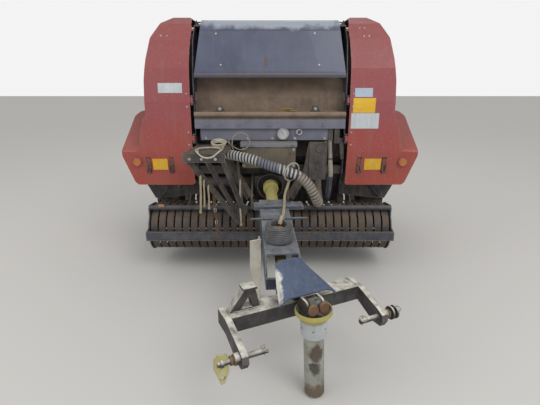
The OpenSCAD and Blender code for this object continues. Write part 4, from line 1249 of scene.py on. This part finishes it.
@dataclass(frozen=True)
class HitchDress:
    """Pins' linch rings, collars, flag plate, weld seams and bolts of the hitch."""

    def build(self) -> None:
        """Makes the hitch's pieces."""
        shape = Shape("hitch_linch_pins", ZINC, RUST)
        for x, lift in ((124 - ARM_HALF - 14, 30), (ARM_HALF - 124 + 14, 30), (ARM_HALF + 108, 30)):
            at = on_yoke(x, LINK_Y, HITCH_Z)
            shape.tube([at - UP * 24 * MM, at + UP * lift * MM], 4.2 * MM, 10)
            shape.ring(at + UP * 20 * MM + Vector((0, -0.012, 0)), Vector((0.3, 1, 0.2)), 19 * MM, 2.4 * MM,
                    0, 28)
        for x, r in ((-ARM_HALF - 44, 24), (ARM_HALF + 44, 24), (-ARM_HALF - 60, 20)):
            shape.lathe([(0, 14.2), (0, r), (3, r + 2), (9, r + 2), (12, r), (12, 14.2)],
                    on_yoke(x, LINK_Y, HITCH_Z), YOKE_RIGHT, 30, 1)
        shape.done("yoke")
        flag = Shape("flag_plate_paint", FLAG)
        outline = ((-34, 30), (-20, 44), (24, 40), (30, -50), (10, -104), (-8, -108), (-36, -20))
        hole = [(2 + 11 * cos(a), -76 + 11 * sin(a)) for a in around(28)]

        def out(p: Pair, grow: float) -> Pair:
            """Returns a point of the plate's frame moved away from its middle by grow."""
            v = Vector((p[0] + 2, p[1] + 25))
            return (p[0] + v.x / v.length * grow, p[1] + v.y / v.length * grow)

        edge = []
        for a, b in zip(outline, outline[1:] + outline[:1]):
            edge += [(a[0] + (b[0] - a[0]) * k / 4, a[1] + (b[1] - a[1]) * k / 4) for k in range(4)]
        angles = sorted(edge, key=lambda p: atan2(p[1] + 76, p[0] - 2))
        inner = sorted(hole, key=lambda p: atan2(p[1] + 76, p[0] - 2))
        rows = []
        for y, grow in ((-5.2, 0), (-5.2, 1.2), (5.2, 1.2), (5.2, 0)):
            pick = angles if grow else inner
            rows.append([on_yoke(-ARM_HALF - 96 + x, LINK_Y + 0.5 + y, HITCH_Z + z)
                    for x, z in (out(p, grow) if grow else p for p in pick)])
        flag.loft(rows, 0, closed=True)
        flag.done("yoke")
        bolts = Fasteners("hitch_bolts", Head.HEX, 13, 10, RUST)
        bolts.add(YOKE_AHEAD, *(on_yoke(JOINT[0] + x, -228, JOINT[2]) for x in (-30.8, 30.8)))
        bolts.add(UP, on_yoke(0, 0, 516))
        bolts.done("yoke")
        seams = Shape("hitch_welds", HITCH)
        arms = [[(x, -165, 488), (x, -110, 491), (x, -54, 490)] for x in (17 - ARM_HALF, ARM_HALF - 17)]
        for points in [[(-366, -92, 491), (-330, -122, 491), (-204, -122, 491)], *arms]:
            seams.tube(smooth([on_yoke(*p) for p in points], 6), 4 * MM, 8)
        seams.done("yoke")


@dataclass(frozen=True)
class HalfShaftDress:
    """Guard of the half shaft: yellow rim band, ribbed white collar with its screws, the joint's ears."""

    def build(self) -> None:
        """Makes the pieces on the half shaft."""
        top = on_yoke(*JOINT)
        low = on_yoke(JOINT[0] + 16, JOINT[1] - 12, 12)
        along = (low - top).normalized()
        band = Shape("half_shaft_band", YELLOW, HOSE)
        band.lathe([(26, 88), (26, 93), (30, 94), (48, 93.5), (54, 85), (76, 71), (76, 69), (52, 83),
                (46, 89)], top, along, 64)
        band.done("half_shaft")
        collar = Shape("half_shaft_collar", WHITE, RUST)
        profile = [(78, 68)]
        for i in range(9):
            for h, r in ((0, 67.5), (3, 68.5), (6, 68.5), (7, 66)):
                profile.append((80 + i * 10 + h, r - i * 0.4))
        profile += [(172, 62.5), (176, 54), (176, 52.2), (84, 60)]
        collar.lathe(profile, top, along, 56)
        u = along.orthogonal().normalized()
        for out in (turned(u, along.cross(u), a) for a in around(6, 0.4)):
            collar.lathe([(0, 1), (0, 4), (3, 3), (3, 1)], top + along * 0.118 + out * 0.066, out, 12, 1)
        collar.done("half_shaft")
        ears = Shape("half_shaft_ears", RUST)
        for x in (-34, 26):
            ears.loft([[top + YOKE_RIGHT * (x + (27 + grow) * cos(a)) - YOKE_AHEAD * depth
                    + UP * ((31 + grow) * sin(a)) * MM for a in around(20)]
                    for depth, grow in ((-46, -4), (-50, 0), (-60, 0), (-64, -4))])
        ears.done("half_shaft")


@dataclass(frozen=True)
class PickupDress:
    """Bolts, spring coils of the tines, reflector and end bolts of the pickup."""

    width: float = 2000.0
    bands: int = 30
    axis: Pair = (-855, 335)
    band_r: float = 195.0
    coil_r: float = 16.0
    tine_r: float = 120.0

    def build(self) -> None:
        """Makes the pickup's pieces."""
        y, z = self.axis
        half, pitch = self.width / 2, self.width / self.bands
        bolts = Fasteners("band_bolts", Head.HEX, 7, 5, STEEL)
        way = turned(REAR, UP, radians(118))
        bolts.add(way, *(place(-half + (i + 0.5) * pitch, y, z) + way * self.band_r * MM
                for i in range(self.bands)))
        bolts.add(FRONT, *(place(x, y - 276, z + 12) for x in range(-900, 901, 300)))
        for side in (-1, 1):
            bolts.add(side * RIGHT, *(place(side * (half + 14), y - step, z) for step in (150, 195, 240)))
        bolts.done("pickup")
        seam = Shape("pickup_bar_lips", FRAME)
        for low in (-36, 31):
            seam.block((-half - 8, y - 281, z + low), (half + 8, y - 274, z + low + 6))
        seam.done("pickup")
        mark = Shape("pickup_reflector", AMBER, ZINC)
        mark.block((-924, y - 152, z + 212), (-888, y - 142, z + 232), place, 0, 3)
        mark.block((-928, y - 146, z + 196), (-884, y - 140, z + 236), place, 1, 1.5)
        mark.done("pickup")
        coils = Shape("tine_springs", STEEL)
        for a in (radians(45 + 90 * k) for k in range(4)):
            axis_y, axis_z = y - self.tine_r * sin(a), z + self.tine_r * cos(a)
            for i in range(1, self.bands):
                x = -half + i * pitch
                coils.tube([place(x - 16 + 32 * j / 30, axis_y + self.coil_r * cos(tau * j / 10),
                        axis_z + self.coil_r * sin(tau * j / 10)) for j in range(31)], 2.6 * MM, 5)
        coils.done("reel")


@dataclass(frozen=True)
class WheelDress(Sided):
    """Wheel nuts, hub cap, valve and sidewall rings."""

    def build(self) -> None:
        """Makes the wheel's pieces."""
        middle = place(self.side * WHEEL_X, AXLE_Y, AXLE_Z)
        way = self.side * RIGHT
        nuts = Fasteners(f"wheel_nuts_{self.tag}", Head.HEX, 14, 16, ZINC)
        nuts.add(way, *(middle + way * 36 * MM + turned(-UP, REAR, radians(72 * k)) * 110 * MM
                for k in range(5)))
        nuts.done(f"wheel_{self.tag}")
        hub = Shape(f"hub_cap_{self.tag}", FRAME, HOSE)
        hub.lathe([(72, 66), (84, 68), (86, 60), (96, 44), (98, 12), (96, 1), (94, 1), (94, 10), (84, 42)],
                middle, way, 40)
        valve = ((0.06, (0, 0.1, 0.158)), (0.094, (0, 0.094, 0.15)))
        hub.tube([middle + way * out + Vector(off) for out, off in valve], 5 * MM, 10, 1)
        hub.done(f"wheel_{self.tag}")
        wall = Shape(f"sidewall_rings_{self.tag}", RUBBER)
        bead = ((-4, -6), (2.5, -3), (2.5, 2), (-4, 5))
        for radius, at in ((262, 129), (318, 136), (352, 132)):
            for end in (-1, 1):
                wall.lathe([(end * (at + h), radius + r) for h, r in bead], middle, way, 72)
        wall.done(f"wheel_{self.tag}")


@dataclass(frozen=True)
class RearDress:
    """Ribs, bolts and rivets of the tailgate, and lamp frames."""

    def build(self) -> None:
        """Makes the tailgate's pieces."""
        ribs = Shape("gate_ribs", NAVY)
        for degrees in (38, 12, -14, -40):
            a = radians(degrees)
            out, over = turned(REAR, UP, a), turned(UP, -REAR, a)
            middle = place(0, 0, GATE_Z) + out * GATE_R * MM
            ribs.loft([[middle + Vector((x * MM, 0, 0)) + (over * w + out * h) * MM
                    for w, h in ((-34, -2), (-20, high), (20, high), (34, -2))]
                    for x, high in ((-592, 6), (-570, 22), (570, 22), (592, 6))])
        ribs.done("tailgate")
        bolts = Fasteners("gate_bolts", Head.HEX, 10, 8, ZINC)
        for degrees in range(-60, 71, 13):
            out = turned(REAR, UP, radians(degrees))
            bolts.add(out, *(place(x, 0, GATE_Z) + out * GATE_R * MM for x in (-580, 580)))
        bolts.add(REAR, *(place(x, 779, 1070) for x in (-534, -426, 426, 534)))
        bolts.done("tailgate")
        rims = Shape("rear_lamp_rims", HOSE, AMBER)
        for side in (-1, 1):
            x = side * 480
            for a, b, c, d in ((-90, 90, 1076, 1083), (-90, 90, 1159, 1166), (-90, -83, 1083, 1159),
                    (83, 90, 1083, 1159)):
                rims.block((x + a, 810, c), (x + b, 821.8, d), place, 0, 1.5)
            lens = x + side * 50
            rims.block((lens - 30, 818, 1090), (lens + 30, 821.9, 1152), place, 1, 2)
        rims.done("tailgate")
        rivets = Fasteners("gate_cover_rivets", Head.RIVET, 7, 5, ZINC)
        for side in (-1, 1):
            rivets.add(side * RIGHT, *(place(side * 1205, 150, z) for z in (1065, 1100, 1135)),
                    *(place(side * 985, y, 1340) for y in (110, 300, 480)))
        rivets.done("tailgate")


@dataclass(frozen=True)
class ChainLinks(Sided):
    """Rollers of the drive chains, set along each run by the fastener tree."""

    sprockets: tuple[Triple, ...]
    pitch: float = 25.4

    def build(self) -> None:
        """Sets the chain's rivets round its loops."""
        links = Fasteners(f"chain_rollers_{self.tag}", Head.LINK, 6.5, 4, ZINC)
        for i, (a, b) in enumerate(zip(self.sprockets, self.sprockets[1:])):
            x = self.side * 760 + (-18 if i % 2 == 0 else 2) + (16 if self.side > 0 else 0)
            links.add(self.side * RIGHT, *(place(x, y, z) for y, z in self.loop(a, b)))
        links.done("chassis")

    def loop(self, a: Triple, b: Triple) -> list[Pair]:
        """Spreads points round the belt line of two sprockets.

        Args:
            a: first sprocket, y, z and radius.
            b: second sprocket.

        Returns:
            The points, y and z.
        """
        d = Vector((b[0] - a[0], b[1] - a[1], 0))
        base, lean = atan2(d.y, d.x), acos((a[2] - b[2]) / d.length)
        ring = []
        for (y, z, r), start, end in ((a, lean, tau - lean), (b, -lean, lean)):
            for k in range(9):
                t = base + start + (end - start) * k / 8
                ring.append(Vector((y + (r + 1) * cos(t), z + (r + 1) * sin(t), 0)))
        ring.append(ring[0])
        return [(p.x, p.y) for p in even(ring, self.pitch)[:-1]]


def strut_point(row: tuple[float, float, float, float, float, float], z: float) -> Triple:
    """Returns the point of a strut, given by its two ends, at a height, in mm."""
    share = (row[2] - z) / (row[2] - row[5])
    return (row[0] + (row[3] - row[0]) * share, row[1] + (row[4] - row[1]) * share, z)


def build_ropes() -> None:
    """Lays the rope from the hose ring to the coil and hangs the short ropes from the struts."""
    Rope("pull_rope", "drawbar", 11, (
        (150, -1166, 820), (140, -1180, 790), (122, -1225, 752), (112, -1300, 737), (105, -1420, 736),
        (100, -1528, 730), (94, -1600, 713), (88, -1690, 708), (80, -1770, 694), (77, -1832, 702),
        (78, -1852, 752), (76, -1878, 774), (70, -1908, 772), (62, -1925, 752)), "loose").build()
    # top and bottom of the outer strut
    outer = (-598, -1270, 990, -249, -1110, 452)
    # each rope's height where it is tied, its lower end, how far it leans and its radius
    rows = (("a", 872, 590, -14, 9), ("b", 838, 636, -6, 7.5), ("c", 792, 612, -3, 7.5))
    for tag, z, low, lean, radius in rows:
        x, y, _ = strut_point(outer, z)
        Rope(f"hanging_rope_{tag}", "chassis", radius, (
            (x, y + 4, z), (x - 1, y - 13, z - 4), (x - 3, y - 17, z - 26),
            (x + lean * 0.4, y - 15, (z + low) / 2), (x + lean, y - 12, low))).build()
    Rope("hanging_rope_d", "chassis", 8, (
        (-238, -1040, 800), (-238, -1062, 792), (-238, -1084, 760), (-239, -1124, 640), (-238, -1126, 560),
        (-234, -1122, 440))).build()


@dataclass(frozen=True)
class Studio:
    """Camera at the photograph's place, pale floor and soft lamps."""

    focal_px: float = 410.0
    frame_px: float = 540.0
    eye: Triple = (0.0, -4250.0, 1600.0)
    pitch: float = 17.3
    aim: Triple = (0.0, 0.0, 0.8)
    # brightness of the world as a lamp and as the backdrop, and how much less of it reflections show
    sky: Pair = (0.75, 0.9)
    gloss_cut: float = 0.45
    # name, place in metres, size and power
    lamps: tuple[tuple[str, Triple, float, float], ...] = (
        ("key", (2.6, -4.5, 5.5), 3.5, 150.0), ("fill", (-4.5, -3.0, 3.5), 4.0, 60.0),
        ("rear", (0.5, 5.0, 5.0), 4.0, 25.0))

    def build(self) -> None:
        """Makes the camera, the world, the lamps and the floor."""
        scene = bpy.context.scene
        scene.view_settings.view_transform = "Standard"
        scene.camera = self.build_camera()
        scene.world = self.build_world()
        for name, spot, size, power in self.lamps:
            lamp = bpy.data.lights.new(name, "AREA")
            lamp.size, lamp.energy = size, power
            aim = (Vector(self.aim) - Vector(spot)).to_track_quat("-Z", "Y")
            linked(name, lamp).matrix_world = Matrix.Translation(spot) @ aim.to_matrix().to_4x4()
        self.build_floor()

    def build_camera(self) -> Piece:
        """Makes the camera at the photograph's place.

        Returns:
            The camera.
        """
        lens = bpy.data.cameras.new("camera")
        lens.sensor_width = 36.0
        lens.lens = self.focal_px / self.frame_px * lens.sensor_width
        camera = linked("camera", lens)
        camera.matrix_world = (Matrix.Translation(place(*self.eye))
                @ Matrix.Rotation(radians(90 - self.pitch), 4, "X"))
        return camera

    def build_world(self) -> bpy.types.World:
        """Makes the even light all round.

        Returns:
            The world.
        """
        world = bpy.data.worlds.new("studio")
        world.use_nodes = True
        tree = world.node_tree
        tree.nodes.clear()
        make = partial(add_node, tree)
        seen = make("ShaderNodeLightPath")
        shown = make("ShaderNodeMath", {0: seen.outputs["Is Camera Ray"],
                1: seen.outputs["Is Transmission Ray"]}, operation="MAXIMUM").outputs[0]
        lit_by, seen_as = self.sky
        level = make("ShaderNodeMapRange", {"Value": shown, "To Min": lit_by, "To Max": seen_as}).outputs[0]
        # mirror images of the bare studio are dimmed
        gloss = make("ShaderNodeMath", {0: seen.outputs["Is Glossy Ray"], 1: self.gloss_cut},
                operation="MULTIPLY").outputs[0]
        level = make("ShaderNodeMath", {0: level, 1: gloss}, operation="SUBTRACT").outputs[0]
        back = make("ShaderNodeBackground", {"Color": (1, 1, 1, 1), "Strength": level})
        make("ShaderNodeOutputWorld", {"Surface": back.outputs[0]})
        return world

    def build_floor(self) -> None:
        """Makes the pale floor, which belongs to the studio and not to the baler."""
        mesh = bpy.data.meshes.new("floor")
        bm = bmesh.new()
        bmesh.ops.create_grid(bm, x_segments=1, y_segments=1, size=30)
        bm.to_mesh(mesh)
        bm.free()
        floor = linked("floor", mesh)
        paint = bpy.data.materials.new("pale_studio_floor")
        paint.use_nodes = True
        shader = paint.node_tree.nodes["Principled BSDF"]
        shader.inputs["Base Color"].default_value = linear("c9c7c3")
        shader.inputs["Roughness"].default_value = 0.9
        mesh.materials.append(paint)


def dress_frame() -> None:
    """Gives every carried-over CAD node its finish."""
    for finish, nodes in DRESS.items():
        for name in nodes.split():
            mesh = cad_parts[name].data
            mesh.materials.clear()
            mesh.materials.append(Materials.get(finish))
    LOG.info("dressed %d CAD nodes", sum(len(nodes.split()) for nodes in DRESS.values()))


# sprockets of each chain drive from the lowest up: y, z and radius
CHAINS_LEFT = ((-830, 725, 48), (-640.7, 1034.1, 80), (-591.6, 1544.5, 95), (-195.9, 1870.7, 80))
CHAINS_RIGHT = ((-669.6, 1206.6, 85), (-490.0, 1686.9, 95), (-23.4, 1899.6, 80))

# in building order; a sticker has its name, finish, x0, x1, z0 and z1
SUB_ASSEMBLIES = (
    Studio(),
    HoseBundle(), RightHose(), CableCoil(), ShelfCable(), CableRing(),
    CoverDress(-1, (("blank_sticker", STICKER_WHITE, -873, -685, 1465, 1539),), (-964, -840),
        ((-1014, -980), (-828, -794)), ((-843, 1888), (-797, 1888))),
    CoverDress(1, (("blank_label_blue", STICKER_BLUE, 663, 802, 1435, 1502),
        ("blank_label_yellow", STICKER_YELLOW, 653, 829, 1314, 1427),
        ("blank_label_white", STICKER_WHITE, 642, 864, 1190, 1311)), (775, 913),
        ((716, 752), (918, 956)), ((700, 1948), (737, 1948), (727, 1886), (767, 1886))),
    HoodDress(), TrayDress(), PanelDress(), HoseRing(), HangingChain(), SideRods(), HitchDress(),
    HalfShaftDress(), PickupDress(), WheelDress(-1), WheelDress(1), RearDress(),
    ChainLinks(-1, CHAINS_LEFT), ChainLinks(1, CHAINS_RIGHT),
)


def main() -> None:
    """Builds the scene in order, camera and cords first, then gives the CAD nodes their finishes."""
    logging.basicConfig(level=logging.INFO)
    for part in SUB_ASSEMBLIES:
        part.build()
        LOG.info("built %s", type(part).__name__)
        if isinstance(part, CableRing):
            build_ropes()
    dress_frame()


if __name__ == "__main__":
    main()
